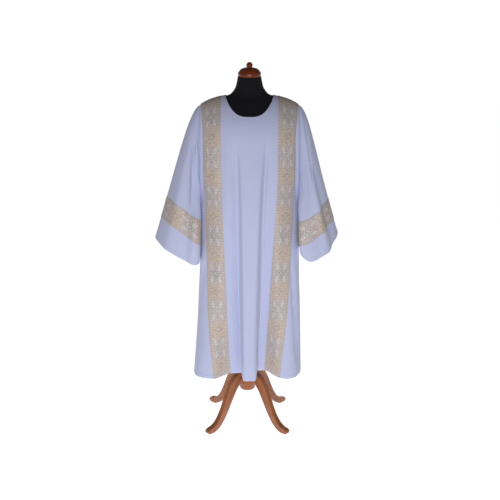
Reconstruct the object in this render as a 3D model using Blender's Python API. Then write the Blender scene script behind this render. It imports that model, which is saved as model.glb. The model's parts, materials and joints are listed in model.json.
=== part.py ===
"""A white dalmatic with galloon bands, worn by a limbless dress form on a four-legged wooden base.

Metres, +Z up, the front faces -Y. The origin is on the floor, on the axis of the form's pole.
Each piece of cloth is a wall on a grid of points: the grid's columns are threads that hang from
the shoulder to the hem, and its rows are level sections. Left and right are the viewer's.
"""

import math
from collections import namedtuple

import bmesh
import bpy
import numpy as np

# ---------------------------------------------------------------- driving sizes
CLOTH = 0.0016  # wall of the panels and sleeves
GALLOON = 0.0010  # wall of the woven bands
SEAM = 0.0003  # gap between two pieces at a seam, and under a band

HEM = 0.263  # height of the hem above the floor
UNDERARM = 1.080
NECK_X, NECK_Z = 0.106, 1.540  # the neckline's ends, on the shoulder seam
SHOULDER_X = 0.2235  # where the shoulder seam meets the armhole
SHOULDER_SLOPE, SHOULDER_DROOP = 0.22, 12.0  # the seam falls by slope * x + droop * x cubed
NECK_REACH = {"front": 0.1145, "back": 0.0735}  # the neckline's depth from y = 0
NECK_POWER = 2.7  # how square the neckline is, seen from above
YOKE_FULLNESS = {"front": 1.0, "back": 0.8}  # under 1, the yoke is rounder at the shoulder
CHEST_Z = {"front": 1.330, "back": 1.352}  # where the cloth leaves the body and hangs
ARMHOLE_DEPTH = {"front": 0.056, "back": 0.060}  # how far each armhole edge bows from y = 0

BAND_WIDTH = 0.090
BAND_IN_TOP, BAND_IN_HEM = 0.1265, 0.138  # centre line to the band's inner edge, on the cloth
BAND_FLARE_Z = 0.900  # the bands run parallel down to here
EVEN_COLUMNS = (1.45, 0.85)  # the neckline's crowded columns spread out between these heights
HEM_LIFT_Z = 0.900  # the folds lift the hem from here down
FOLD_FADE = 3.0  # the folds die out in the last third of the depth, at the sides
ORIGIN_X = -0.0145  # the middle of the whole, from the form's axis

# Grid densities: cells between the named lines of the cut.
CELLS_CENTRE, CELLS_BAND, CELLS_SIDE = 10, 3, 6
ROWS_YOKE, ROWS_ARMHOLE, ROWS_SKIRT = 6, 6, 10
RINGS_SLEEVE, RINGS_BAND, RINGS_CUFF = 7, 2, 2
SECTION_POINTS, THREAD_POINTS = 481, 61

# ---------------------------------------------------------------- tables
Section = namedtuple("Section", "height left right front back power turn_deg")
BODY = (
    Section(1.352, 0.2268, 0.2268, 0.1375, 0.1200, 2.0, 64),
    Section(1.330, 0.2270, 0.2270, 0.1380, 0.1205, 2.0, 65),
    Section(1.200, 0.2275, 0.2275, 0.1400, 0.1220, 2.1, 76),
    Section(1.080, 0.2270, 0.2270, 0.1420, 0.1250, 2.3, 90),
    Section(0.780, 0.2300, 0.2310, 0.1460, 0.1400, 2.5, 90),
    Section(0.500, 0.2460, 0.2400, 0.1510, 0.1560, 3.1, 90),
    Section(HEM, 0.2640, 0.2445, 0.1570, 0.1690, 4.4, 90),
)

# A fold is a strip between two straight lines that run from its start to the hem.
# soft is the width of a line's bend at the start and at the hem, depth is how far the fold stands
# out (+) or sinks in (-) at the hem, and lift raises the hem there.
Fold = namedtuple("Fold", "name start left_top left_hem right_top right_hem soft_left soft_right depth lift")
FRONT_FOLDS = (
    Fold("recess left", 1.34, -0.104, -0.118, -0.052, -0.034, (0.050, 0.082), (0.040, 0.010), -0.033, 0.008),
    Fold("centre pleat", 1.32, -0.052, -0.034, 0.064, 0.033, (0.044, 0.010), (0.044, 0.010), 0.028, -0.006),
    Fold("recess right", 1.34, 0.064, 0.033, 0.104, 0.104, (0.040, 0.010), (0.050, 0.074), -0.052, 0.014),
    Fold("side roll left", 1.05, -0.26, -0.262, -0.20, -0.146, (0.030, 0.030), (0.060, 0.056), 0.016, -0.002),
    Fold("side roll right", 1.10, 0.190, 0.148, 0.236, 0.222, (0.060, 0.056), (0.030, 0.030), 0.018, -0.003),
)
BACK_FOLDS = (
    Fold("back pleat left", 1.3, -0.12, -0.108, -0.03, -0.052, (0.050, 0.016), (0.050, 0.020), 0.034, -0.005),
    Fold("back recess", 1.33, -0.036, -0.046, 0.030, 0.030, (0.050, 0.020), (0.050, 0.026), -0.030, 0.007),
    Fold("back pleat right", 1.28, 0.026, 0.036, 0.110, 0.094, (0.050, 0.024), (0.050, 0.018), 0.030, -0.004),
    Fold("back roll left", 1.10, -0.230, -0.236, -0.176, -0.160, (0.040, 0.040), (0.050, 0.050), 0.018, 0.0),
    Fold("back roll right", 1.12, 0.180, 0.170, 0.232, 0.226, (0.050, 0.060), (0.040, 0.040), 0.020, 0.0),
)
FOLDS = {"front": FRONT_FOLDS, "back": BACK_FOLDS}

# The cuff as a closed loop: from the top fold round the front to the underarm and back.
CuffPoint = namedtuple("CuffPoint", "place x y z")
CUFFS = {
    "left": (
        CuffPoint("top fold", 0.4370, 0.000, 0.896),
        CuffPoint("front top", 0.4000, -0.072, 0.870),
        CuffPoint("front", 0.3360, -0.108, 0.832),
        CuffPoint("front low", 0.2560, -0.108, 0.789),
        CuffPoint("underarm", 0.2320, -0.062, 0.803),
        CuffPoint("back low", 0.2580, 0.045, 0.803),
        CuffPoint("back", 0.3280, 0.092, 0.842),
        CuffPoint("back top", 0.3980, 0.070, 0.880),
    ),
    "right": (
        CuffPoint("top fold", 0.4090, 0.006, 0.918),
        CuffPoint("front top", 0.3860, -0.054, 0.878),
        CuffPoint("front", 0.3340, -0.103, 0.830),
        CuffPoint("front low", 0.2720, -0.111, 0.804),
        CuffPoint("underarm", 0.2330, -0.062, 0.852),
        CuffPoint("back low", 0.2580, 0.045, 0.838),
        CuffPoint("back", 0.3220, 0.092, 0.852),
        CuffPoint("back top", 0.3780, 0.070, 0.888),
    ),
}
UNDERARM_ROW = 4

# The sleeve band lies between two parallel planes: height at x = 0.30 and y = -0.10, and how
# the planes rise outwards and backwards.
BandPlane = namedtuple("BandPlane", "height rise_out rise_back")
SLEEVE_BANDS = {"left": BandPlane(0.928, 0.80, -0.25), "right": BandPlane(0.912, 0.72, 0.10)}
BAND_PLANE_X, BAND_PLANE_Y = 0.30, -0.10
SLEEVE_START_TOP = (0.81, 0.0, -0.58)  # how the sleeve leaves the shoulder
SLEEVE_START_LOW = (0.50, 0.0, -0.87)  # and the underarm
SLEEVE_END_TOP = (0.30, 0.0, -0.95)  # how the top fold reaches the cuff
SLEEVE_END_LOW = (0.02, 0.0, -1.00)
START_BOW = 0.24  # the front and back leave the armhole bowed out by this much
SLEEVE_FOLD_SPREAD = 0.5  # share of the sleeve over which a fold grows to its full depth
HANDLE_START, HANDLE_END = 0.10, 0.62  # handle lengths, as shares of each thread's length

# A sleeve fold runs along the sleeve: at is the place round the loop, 0 the top fold, 0.25 the
# front, 0.5 the underarm and 0.75 the back.
SleeveFold = namedtuple("SleeveFold", "name at_top at_cuff half_width depth start")
SLEEVE_FOLDS = {
    "left": (
        SleeveFold("front trough", 0.36, 0.345, 0.060, -0.010, 0.10),
        SleeveFold("front ridge", 0.20, 0.190, 0.080, 0.006, 0.20),
        SleeveFold("back trough", 0.68, 0.690, 0.070, -0.014, 0.15),
        SleeveFold("back ridge", 0.80, 0.810, 0.060, 0.008, 0.20),
    ),
    "right": (
        SleeveFold("front ridge", 0.23, 0.215, 0.070, 0.012, 0.05),
        SleeveFold("outer trough", 0.125, 0.120, 0.055, -0.004, 0.10),
        SleeveFold("back trough", 0.70, 0.680, 0.070, -0.014, 0.15),
        SleeveFold("back ridge", 0.82, 0.820, 0.060, 0.008, 0.20),
    ),
}

FormRing = namedtuple("FormRing", "height half_width front back power lean_deg")
FORM = (
    FormRing(0.870, 0.1480, 0.1000, 0.0980, 2.3, 0),
    FormRing(0.960, 0.1660, 0.1100, 0.1080, 2.3, 0),
    FormRing(1.080, 0.1600, 0.1060, 0.0920, 2.3, 0),
    FormRing(1.200, 0.1720, 0.1180, 0.0980, 2.4, 0),
    FormRing(1.320, 0.1860, 0.1280, 0.1080, 2.4, 0),
    FormRing(1.400, 0.1960, 0.1130, 0.1020, 2.3, 0),
    FormRing(1.450, 0.2020, 0.0910, 0.0880, 2.2, 0),
    FormRing(1.478, 0.2030, 0.0770, 0.0740, 2.1, 0),
    FormRing(1.495, 0.1960, 0.0690, 0.0650, 2.0, 0),
    FormRing(1.508, 0.1840, 0.0610, 0.0580, 2.0, 0),
    FormRing(1.517, 0.1735, 0.0540, 0.0520, 1.7, 0),
    FormRing(1.5242, 0.1600, 0.0480, 0.0470, 1.5, 0),
    FormRing(1.5312, 0.1350, 0.0460, 0.0460, 1.4, 0),
    FormRing(1.5352, 0.1100, 0.0460, 0.0460, 1.6, 0),
    FormRing(1.543, 0.0870, 0.0490, 0.0490, 1.9, 1),
    FormRing(1.558, 0.0720, 0.0530, 0.0530, 2.0, 3),
    FormRing(1.575, 0.0620, 0.0540, 0.0550, 2.0, 6),
    FormRing(1.600, 0.0560, 0.0550, 0.0570, 2.0, 9),
    FormRing(1.619, 0.0525, 0.0525, 0.0525, 2.0, 9),
)
FORM_SIDES = 32

CAP_LEAN_DEG = 9
CAP_BASE_Z = 1.6193
CapPoint = namedtuple("CapPoint", "radius height")
CAP_PROFILE = (
    CapPoint(0.0490, 0.0000),
    CapPoint(0.0508, 0.0040),
    CapPoint(0.0513, 0.0110),
    CapPoint(0.0495, 0.0175),
    CapPoint(0.0465, 0.0205),
    CapPoint(0.0430, 0.0260),
    CapPoint(0.0330, 0.0330),
    CapPoint(0.0210, 0.0365),
    CapPoint(0.0125, 0.0385),
    CapPoint(0.0118, 0.0410),
    CapPoint(0.0142, 0.0450),
    CapPoint(0.0145, 0.0490),
    CapPoint(0.0118, 0.0550),
    CapPoint(0.0070, 0.0600),
    CapPoint(0.0000, 0.0620),
)
TURNED_SIDES, POLE_SIDES = 28, 20

STAND_X, STAND_Y = -0.010, -0.018  # the pole, from the middle of the neck
POLE_RADIUS = 0.0125
HUB_LOW, HUB_HIGH, HUB_SHOULDER = 0.150, 0.275, 0.2575
HUB_RADIUS, HUB_COLLAR, HUB_END, HUB_ROUND = 0.036, 0.031, 0.025, 0.008
LEG_AZIMUTHS_DEG = (45, 135, 225, 315)
LEG_THICK = 0.026
LEG_PATH = ((0.0367, 0.215), (0.122, 0.245), (0.138, 0.020), (0.2435, 0.0125))  # radius, height
LEG_HALF_HEIGHT = ((0.0, 0.030), (0.35, 0.0235), (0.70, 0.0170), (1.0, 0.0150))  # share, size
LEG_STEPS, TOE_STEPS = 12, 5
TOE_REACH = 1.5  # the toe is an ellipse, this many times longer than it is high

COLOURS = {
    "cloth": ((0.68, 0.71, 0.86, 1), 0.85, 0.0),
    "galloon": ((0.62, 0.54, 0.46, 1), 0.55, 0.2),
    "jersey": ((0.018, 0.018, 0.022, 1), 0.9, 0.0),
    "wood": ((0.33, 0.12, 0.05, 1), 0.35, 0.0),
    "steel": ((0.35, 0.35, 0.36, 1), 0.35, 1.0),
}


# ---------------------------------------------------------------- small helpers
def mix(a, b, t):
    return a + (b - a) * t


def smoothstep(t):
    t = np.clip(t, 0.0, 1.0)
    return t * t * (3 - 2 * t)


def unit(vectors):
    length = np.linalg.norm(vectors, axis=-1, keepdims=True)
    return vectors / np.maximum(length, 1e-12)


def smooth_lookup(places, values, at):
    """A curve through a table's values: cubic between rows, with no overshoot."""
    order = np.argsort(places)
    p, v = np.array(places, float)[order], np.array(values, float)[order]
    step = np.diff(v) / np.diff(p)
    slope = np.zeros(len(p))
    same_way = step[:-1] * step[1:] > 0
    total = np.where(same_way, step[:-1] + step[1:], 1.0)
    slope[1:-1] = np.where(same_way, 2 * step[:-1] * step[1:] / total, 0)
    slope[0], slope[-1] = step[0], step[-1]
    at = np.clip(at, p[0], p[-1])
    i = np.clip(np.searchsorted(p, at) - 1, 0, len(p) - 2)
    gap = p[i + 1] - p[i]
    t = (at - p[i]) / gap
    return (
        (1 + 2 * t) * (1 - t) ** 2 * v[i]
        + t * (1 - t) ** 2 * gap * slope[i]
        + t * t * (3 - 2 * t) * v[i + 1]
        + t * t * (t - 1) * gap * slope[i + 1]
    )


def body_size(column, height):
    return smooth_lookup([row.height for row in BODY], [getattr(row, column) for row in BODY], height)


def bezier(a, b, c, d, t):
    return (1 - t) ** 3 * a + 3 * t * (1 - t) ** 2 * b + 3 * t * t * (1 - t) * c + t**3 * d


def along(points):
    """Distance along a polyline at each of its points."""
    steps = np.linalg.norm(np.diff(points, axis=0), axis=1)
    return np.concatenate([[0], np.cumsum(steps)])


# ---------------------------------------------------------------- the body's surface
def shoulder_height(x):
    """The shoulder seam: a gentle slope that steepens towards the armhole."""
    out = np.maximum(np.abs(x) - NECK_X, 0)
    return NECK_Z - SHOULDER_SLOPE * out - SHOULDER_DROOP * out**3


def armhole_edge(face, height):
    """How far the panel's edge stands from y = 0: bowed at the chest, nothing at the underarm."""
    chest = CHEST_Z[face]
    down = np.clip((chest - height) / (chest - UNDERARM), 0, 1)
    return ARMHOLE_DEPTH[face] * math.sqrt(1 - down * down)


def folded_depth(face, x, height):
    """How far the folds move the cloth out at x, and how far they lift the hem."""
    out, lift = np.zeros_like(x), np.zeros_like(x)
    for fold in FOLDS[face]:
        grown = float(np.clip((fold.start - height) / (fold.start - HEM), 0, 1))
        left = mix(fold.left_top, fold.left_hem, grown)
        right = mix(fold.right_top, fold.right_hem, grown)
        enter = smoothstep((x - left) / mix(*fold.soft_left, grown) + 0.5)
        leave = smoothstep((x - right) / mix(*fold.soft_right, grown) + 0.5)
        inside = enter * (1 - leave)
        out += fold.depth * grown * inside
        lift += fold.lift * inside
    return out, lift


def section(face, height):
    """One level section of a panel: points from the left edge to the right, the distance along
    the cloth from the centre line, and the hem's lift."""
    turn = math.radians(body_size("turn_deg", height))
    angle = np.linspace(-turn, turn, SECTION_POINTS)
    power = 2 / body_size("power", height)
    reach = np.where(angle < 0, body_size("left", height), body_size("right", height))
    x = reach * np.sign(angle) * (np.abs(np.sin(angle)) / math.sin(turn)) ** power
    edge = armhole_edge(face, height)
    round_off = np.abs(np.cos(angle)) ** power
    low = math.cos(turn) ** power if turn < math.pi / 2 - 1e-6 else 0.0
    depth = edge + (body_size(face, height) - edge) * (round_off - low) / (1 - low)
    folds, lift = folded_depth(face, x, height)
    depth = depth + folds * smoothstep(round_off * FOLD_FADE)
    facing = -1 if face == "front" else 1
    points = np.stack([x, facing * depth, np.full_like(x, height)], axis=1)
    distance = along(points)
    return points, distance - np.interp(0.0, x, distance), lift


def band_start(height):
    """Centre line to the band's inner edge, on the cloth."""
    return mix(BAND_IN_TOP, BAND_IN_HEM, float(smoothstep((BAND_FLARE_Z - height) / (BAND_FLARE_Z - HEM))))


def column_distances(height, cells, edge):
    """The distance of each of one side's columns from the centre line, at one height."""
    centre, band, side = cells
    start = band_start(height)
    shares = np.arange(centre + 1) / centre
    round_neck = np.append(neck_columns(centre)[0], start)
    even = shares * start
    high, low = EVEN_COLUMNS
    inner = mix(round_neck, even, float(smoothstep((high - height) / (high - low))))
    on_band = start + BAND_WIDTH * np.arange(1, band + 1) / band
    outer = mix(on_band[-1], edge, np.arange(1, side + 1) / side)
    return np.concatenate([inner, on_band, outer])


def panel_row(face, height, cells):
    """One level row of a panel's grid."""
    points, distance, lift = section(face, height)
    right = column_distances(height, cells, distance[-1])
    left = column_distances(height, cells, -distance[0])
    at = np.concatenate([-left[:0:-1], right])
    row = np.stack([np.interp(at, distance, points[:, k]) for k in range(3)], axis=1)
    near_hem = smoothstep((HEM_LIFT_Z - height) / (HEM_LIFT_Z - HEM))
    row[:, 2] += np.interp(at, distance, lift) * near_hem
    return row


def neck_columns(centre):
    """One side's columns on the neckline, seen from above: x, and the share of its depth."""
    turn = np.arange(centre) / (centre - 1) * math.pi / 2
    return NECK_X * np.sin(turn) ** (2 / NECK_POWER), np.abs(np.cos(turn)) ** (2 / NECK_POWER)


def yoke_columns(cells):
    """Where one side's columns meet the shoulder line, as x."""
    centre, band, side = cells
    neck = neck_columns(centre)[0]
    on_band = BAND_IN_TOP + BAND_WIDTH * np.arange(band + 1) / band
    outer = mix(on_band[-1], SHOULDER_X, np.arange(1, side + 1) / side)
    return np.concatenate([neck, on_band, outer])


def panel(face, cells, rows):
    """A panel's grid of points, rows from the shoulder and the neckline down to the hem."""
    yoke_rows, arm_rows, skirt_rows = rows
    chest_z = CHEST_Z[face]
    chest = panel_row(face, chest_z, cells)
    right = yoke_columns(cells)
    top_x = np.concatenate([-right[:0:-1], right])
    top_z = shoulder_height(top_x)
    share = np.zeros_like(right)
    share[: cells[0]] = neck_columns(cells[0])[1]
    share[cells[0] - 1] = 0
    neck_y = NECK_REACH[face] * np.concatenate([share[:0:-1], share])
    fullness = YOKE_FULLNESS[face]
    first = np.arcsin((neck_y / np.abs(chest[:, 1])) ** (1 / fullness))
    grid = []
    for i in range(yoke_rows):
        a = mix(first, math.pi / 2, i / yoke_rows)
        x = mix(top_x, chest[:, 0], np.sin(a) ** 2)
        y = chest[:, 1] * np.sin(a) ** fullness
        grid.append(np.stack([x, y, chest_z + (top_z - chest_z) * np.cos(a)], axis=1))
    for i in range(arm_rows + 1):
        down = math.sin(i / arm_rows * math.pi / 2)
        grid.append(panel_row(face, mix(chest_z, UNDERARM, down), cells))
    for i in range(1, skirt_rows + 1):
        grid.append(panel_row(face, mix(UNDERARM, HEM, i / skirt_rows), cells))
    return np.array(grid)


# ---------------------------------------------------------------- the sleeves' surface
def closed_loop(rows, samples):
    """A smooth closed curve through the rows, as points and the place of each row along it."""
    base = np.array([(r.x, r.y, r.z) for r in rows], float)
    before, after = np.roll(base, 1, axis=0), np.roll(base, -1, axis=0)
    beyond = np.roll(base, -2, axis=0)
    pieces = []
    for t in np.arange(samples) / samples:
        pieces.append(
            0.5
            * (
                2 * base
                + (after - before) * t
                + (2 * before - 5 * base + 4 * after - beyond) * t * t
                + (3 * base - before - 3 * after + beyond) * t**3
            )
        )
    loop = np.stack(pieces, axis=1).reshape(-1, 3)
    loop = np.vstack([loop, loop[:1]])
    return loop, along(loop)


def cuff_at(side, places):
    """Points of the cuff at places round the sleeve: 0 the top fold, 0.5 the underarm."""
    rows = CUFFS[side]
    samples = 40
    loop, distance = closed_loop(rows, samples)
    low, whole = distance[UNDERARM_ROW * samples], distance[-1]
    place = np.where(distance <= low, 0.5 * distance / low, 0.5 + 0.5 * (distance - low) / (whole - low))
    return np.stack([np.interp(places, place, loop[:, k]) for k in range(3)], axis=1)


def armhole_loop(front, back, side, arm_rows):
    """The armhole: down the front panel's edge and up the back's, as points and their places."""
    column = 0 if side == "left" else -1
    down, up = front[: arm_rows + 1, column], back[: arm_rows + 1, column][::-1]
    going, coming = along(down), along(up)
    places = np.concatenate([0.5 * going / going[-1], 0.5 + 0.5 * coming[1:-1] / coming[-1]])
    return np.vstack([down, up[1:-1]]), places


def sleeve(side, armhole, places, rings):
    """A sleeve's grid: ring 0 is the armhole, the last ring the cuff. Each thread of it is one
    soft curve, and two of its rings are the band's edges."""
    outward = -1 if side == "left" else 1
    mirror = np.array([outward, 1, 1])
    start, end = armhole * mirror, cuff_at(side, places)
    turn = places * 2 * math.pi
    high = ((1 + np.cos(turn)) / 2)[:, None]
    bow = np.stack([np.zeros_like(turn), -START_BOW * np.sin(turn), np.zeros_like(turn)], axis=1)
    leave = unit(high * np.array(SLEEVE_START_TOP) + (1 - high) * np.array(SLEEVE_START_LOW) + bow)
    arrive = unit(high * np.array(SLEEVE_END_TOP) + (1 - high) * np.array(SLEEVE_END_LOW))
    length = np.linalg.norm(end - start, axis=1, keepdims=True)
    handles = start + leave * HANDLE_START * length, end - arrive * HANDLE_END * length
    threads = bezier(start, *handles, end, np.linspace(0, 1, THREAD_POINTS)[:, None, None])
    grid = []
    plain_rings, band_rings, cuff_rings = rings
    plane = SLEEVE_BANDS[side]
    band_rise = BAND_WIDTH * math.sqrt(1 + plane.rise_out**2 + plane.rise_back**2)
    for k in range(len(places)):
        thread = threads[:, k]
        distance = along(thread)
        out, back = thread[:, 0] - BAND_PLANE_X, thread[:, 1] - BAND_PLANE_Y
        above = thread[:, 2] - plane.height - plane.rise_out * out - plane.rise_back * back
        band_low = np.interp(0.0, -above, distance)
        band_high = np.interp(-band_rise, -above, distance)
        at = np.concatenate(
            [
                band_high * np.arange(plain_rings) / plain_rings,
                mix(band_high, band_low, np.arange(band_rings) / band_rings),
                mix(band_low, distance[-1], np.arange(cuff_rings + 1) / cuff_rings),
            ]
        )
        grid.append(np.stack([np.interp(at, distance, thread[:, c]) for c in range(3)], axis=1))
    grid = np.array(grid).transpose(1, 0, 2)
    return sleeve_folds(side, grid, places) * mirror


def sleeve_folds(side, grid, places):
    """Moves the sleeve's points in and out, level, by its folds."""
    rings = len(grid)
    share = (np.arange(rings) / (rings - 1))[:, None]
    round_sleeve = np.roll(grid, -1, axis=1) - np.roll(grid, 1, axis=1)
    outward = unit(np.stack([-round_sleeve[..., 1], round_sleeve[..., 0], 0 * share + 0 * places], axis=-1))
    centre = grid.mean(axis=1, keepdims=True)
    outward *= np.sign(((grid - centre) * outward).sum(axis=-1, keepdims=True))
    push = np.zeros(grid.shape[:2])
    for fold in SLEEVE_FOLDS[side]:
        middle = mix(fold.at_top, fold.at_cuff, share)
        across = np.abs((places - middle + 0.5) % 1.0 - 0.5) / fold.half_width
        grown = smoothstep((share - fold.start) / SLEEVE_FOLD_SPREAD)
        push += fold.depth * grown * (1 - smoothstep(across))
    return grid + outward * push[..., None]


# ---------------------------------------------------------------- walls from grids
def grid_normals(grid, closed, flip):
    """The surface's direction at each point: the sum of its cells' areas as vectors. A closed
    grid's columns run round."""
    ring = np.concatenate([grid, grid[:, :1]], axis=1) if closed else grid
    cells = np.cross(ring[1:, 1:] - ring[:-1, :-1], ring[:-1, 1:] - ring[1:, :-1])
    total = np.zeros_like(ring)
    for rows, columns in ((0, 0), (0, 1), (1, 0), (1, 1)):
        total[rows : rows + cells.shape[0], columns : columns + cells.shape[1]] += cells
    if closed:
        total[:, 0] += total[:, -1]
        total = total[:, :-1]
    return unit(-total if flip else total)


def share_seam_normals(surfaces):
    """Pieces that meet at a seam point get one direction there, so that their edges face. Pieces
    that share a direction already count as one."""
    meeting = {}
    for grid, normals in surfaces:
        for key, normal in zip(map(tuple, np.round(grid.reshape(-1, 3), 6)), normals.reshape(-1, 3)):
            meeting.setdefault(key, set()).add(tuple(np.round(normal, 6)))
    for grid, normals in surfaces:
        keys = map(tuple, np.round(grid.reshape(-1, 3), 6))
        total = [np.sum(sorted(meeting[key]), axis=0) for key in keys]
        normals[:] = unit(np.array(total)).reshape(normals.shape)


def parted(grid, normals, edges):
    """The grid with the named edges drawn back by half a seam's gap."""
    moved = grid.copy()
    line = {
        "top": (np.s_[0, :], np.s_[1, :]),
        "left": (np.s_[:, 0], np.s_[:, 1]),
        "right": (np.s_[:, -1], np.s_[:, -2]),
    }
    for edge, span in edges:
        at, inner = line[edge]
        points, directions = grid[at][span], normals[at][span]
        seam = unit(np.gradient(points, axis=0))
        inward = grid[inner][span] - points
        inward -= (inward * directions).sum(-1, keepdims=True) * directions
        inward -= (inward * seam).sum(-1, keepdims=True) * seam
        moved[at][span] += unit(inward) * SEAM / 2
    return moved


def placed(name, mesh, colour, x=0.0, y=0.0):
    """An object at a place from the form's axis, in the frame of the whole."""
    obj = bpy.data.objects.new(name, mesh)
    obj.location = (x - ORIGIN_X, y, 0)
    bpy.context.scene.collection.objects.link(obj)
    mesh.materials.append(material(colour))
    return obj


def new_object(name, points, faces, colour, x=0.0, y=0.0):
    mesh = bpy.data.meshes.new(name)
    mesh.from_pydata([tuple(map(float, p)) for p in points], [], faces)
    mesh.shade_smooth()
    return placed(name, mesh, colour, x, y)


def material(name):
    found = bpy.data.materials.get(name)
    if found:
        return found
    colour, roughness, metallic = COLOURS[name]
    made = bpy.data.materials.new(name)
    made.use_nodes = True
    shader = made.node_tree.nodes["Principled BSDF"]
    shader.inputs["Base Color"].default_value = colour
    shader.inputs["Roughness"].default_value = roughness
    shader.inputs["Metallic"].default_value = metallic
    return made


def wall(name, pattern, outer, inner, closed, flip, colour):
    """A closed solid between two grids. Each cell is split along its shorter diagonal in the
    pattern grid, so that pieces made from the same points lie flat on each other."""
    rows, columns = outer.shape[:2]
    offset = rows * columns
    faces = []

    def quad(a, b, c, d):
        faces.extend([(a, b, c), (a, c, d)] if not flip else [(a, c, b), (a, d, c)])

    spans = columns if closed else columns - 1
    for i in range(rows - 1):
        for j in range(spans):
            k = (j + 1) % columns
            corners = [(i, j), (i + 1, j), (i + 1, k), (i, k)]
            spot = [pattern[corner] for corner in corners]
            if ((spot[0] - spot[2]) ** 2).sum() > ((spot[1] - spot[3]) ** 2).sum():
                corners = corners[1:] + corners[:1]
            a, b, c, d = (row * columns + column for row, column in corners)
            quad(a, b, c, d)
            quad(offset + a, offset + d, offset + c, offset + b)
    for j in range(spans):
        k = (j + 1) % columns
        low = (rows - 1) * columns
        quad(j, k, offset + k, offset + j)
        quad(low + k, low + j, offset + low + j, offset + low + k)
    if not closed:
        for i in range(rows - 1):
            a, b = i * columns, (i + 1) * columns
            quad(b, a, offset + a, offset + b)
            a, b = a + columns - 1, b + columns - 1
            quad(a, b, offset + b, offset + a)
    points = np.vstack([outer.reshape(-1, 3), inner.reshape(-1, 3)])
    return new_object(name, points, faces, colour)


# ---------------------------------------------------------------- the dalmatic
def make_dalmatic():
    cells = (CELLS_CENTRE, CELLS_BAND, CELLS_SIDE)
    rows = (ROWS_YOKE, ROWS_ARMHOLE, ROWS_SKIRT)
    arm_rows = ROWS_YOKE + ROWS_ARMHOLE
    grids = {face: panel(face, cells, rows) for face in ("front", "back")}
    rings = (RINGS_SLEEVE, RINGS_BAND, RINGS_CUFF)
    for side in ("left", "right"):
        loop, places = armhole_loop(grids["front"], grids["back"], side, arm_rows)
        grids[side] = sleeve(side, loop, places, rings)
    flips = {"front": False, "back": True, "left": False, "right": True}
    closed = {"front": False, "back": False, "left": True, "right": True}
    normals = {key: grid_normals(grids[key], closed[key], flips[key]) for key in grids}
    share_seam_normals([(grids[key], normals[key]) for key in ("front", "back")])
    share_seam_normals([(grids[key], normals[key]) for key in grids])

    columns = grids["front"].shape[1]
    on_shoulder = CELLS_BAND + CELLS_SIDE + 2
    shoulder_left, shoulder_right = np.s_[:on_shoulder], np.s_[columns - on_shoulder :]
    panel_edges = (("top", shoulder_left), ("top", shoulder_right), ("left", np.s_[:]), ("right", np.s_[:]))
    for key, name in (("front", "front_panel"), ("back", "back_panel")):
        outer = parted(grids[key], normals[key], panel_edges)
        wall(name, grids[key], outer, outer - normals[key] * CLOTH, False, flips[key], "cloth")
    for key in ("left", "right"):
        outer = parted(grids[key], normals[key], (("top", np.s_[:]),))
        wall(f"sleeve_{key}", grids[key], outer, outer - normals[key] * CLOTH, True, flips[key], "cloth")

    lift = {"under": SEAM, "over": SEAM + GALLOON}
    for key, first in (("left", CELLS_SIDE), ("right", columns - 1 - CELLS_SIDE - CELLS_BAND)):
        strip = np.s_[:, first : first + CELLS_BAND + 1]
        # Up the front, over the shoulder and down the back.
        middle = np.vstack([grids["front"][strip][::-1], grids["back"][strip][1:]])
        out = np.vstack([normals["front"][strip][::-1], normals["back"][strip][1:]])
        over, under = middle + out * lift["over"], middle + out * lift["under"]
        wall(f"band_{key}", middle, over, under, False, True, "galloon")
        around = np.s_[RINGS_SLEEVE : RINGS_SLEEVE + RINGS_BAND + 1]
        middle, out = grids[key][around], normals[key][around]
        over, under = middle + out * lift["over"], middle + out * lift["under"]
        wall(f"sleeve_band_{key}", middle, over, under, True, flips[key], "galloon")


# ---------------------------------------------------------------- the dress form
def ring_points(ring, sides):
    angle = np.arange(sides) * 2 * math.pi / sides
    power = 2 / ring.power
    x = ring.half_width * np.sign(np.sin(angle)) * np.abs(np.sin(angle)) ** power
    reach = np.where(np.cos(angle) > 0, ring.front, ring.back)
    y = -reach * np.sign(np.cos(angle)) * np.abs(np.cos(angle)) ** power
    z = ring.height + y * math.tan(math.radians(ring.lean_deg))
    return np.stack([x, y, z], axis=1)


def make_torso():
    rings = [ring_points(ring, FORM_SIDES) for ring in FORM]
    points = list(np.vstack(rings))
    faces = []
    for i in range(len(rings) - 1):
        for j in range(FORM_SIDES):
            k = (j + 1) % FORM_SIDES
            low, high = i * FORM_SIDES, (i + 1) * FORM_SIDES
            faces.append((low + j, low + k, high + k, high + j))
    last = (len(rings) - 1) * FORM_SIDES
    faces.append(tuple(reversed(range(FORM_SIDES))))
    faces.append(tuple(last + j for j in range(FORM_SIDES)))
    torso = new_object("form_torso", points, faces, "jersey")
    torso.data.set_sharp_from_angle(angle=math.radians(50))


def turned(name, profile, sides, colour, x=0.0, y=0.0):
    """A turned piece: the profile, as radius and height from the bottom up, spun about Z."""
    mesh = bpy.data.meshes.new(name)
    made = bmesh.new()
    line = [made.verts.new((point[0], 0, point[1])) for point in profile]
    edges = [made.edges.new(pair) for pair in zip(line, line[1:])]
    turn = {"cent": (0, 0, 0), "axis": (0, 0, 1), "angle": 2 * math.pi, "steps": sides}
    bmesh.ops.spin(made, geom=line + edges, use_merge=True, **turn)
    bmesh.ops.remove_doubles(made, verts=made.verts, dist=1e-6)
    bmesh.ops.holes_fill(made, edges=made.edges)
    bmesh.ops.recalc_face_normals(made, faces=made.faces)
    made.to_mesh(mesh)
    made.free()
    mesh.shade_smooth()
    mesh.set_sharp_from_angle(angle=math.radians(40))
    return placed(name, mesh, colour, x, y)


def make_cap():
    cap = turned("form_cap", CAP_PROFILE, TURNED_SIDES, "wood")
    cap.location.z = CAP_BASE_Z + SEAM
    cap.rotation_euler.x = math.radians(CAP_LEAN_DEG)


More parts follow.
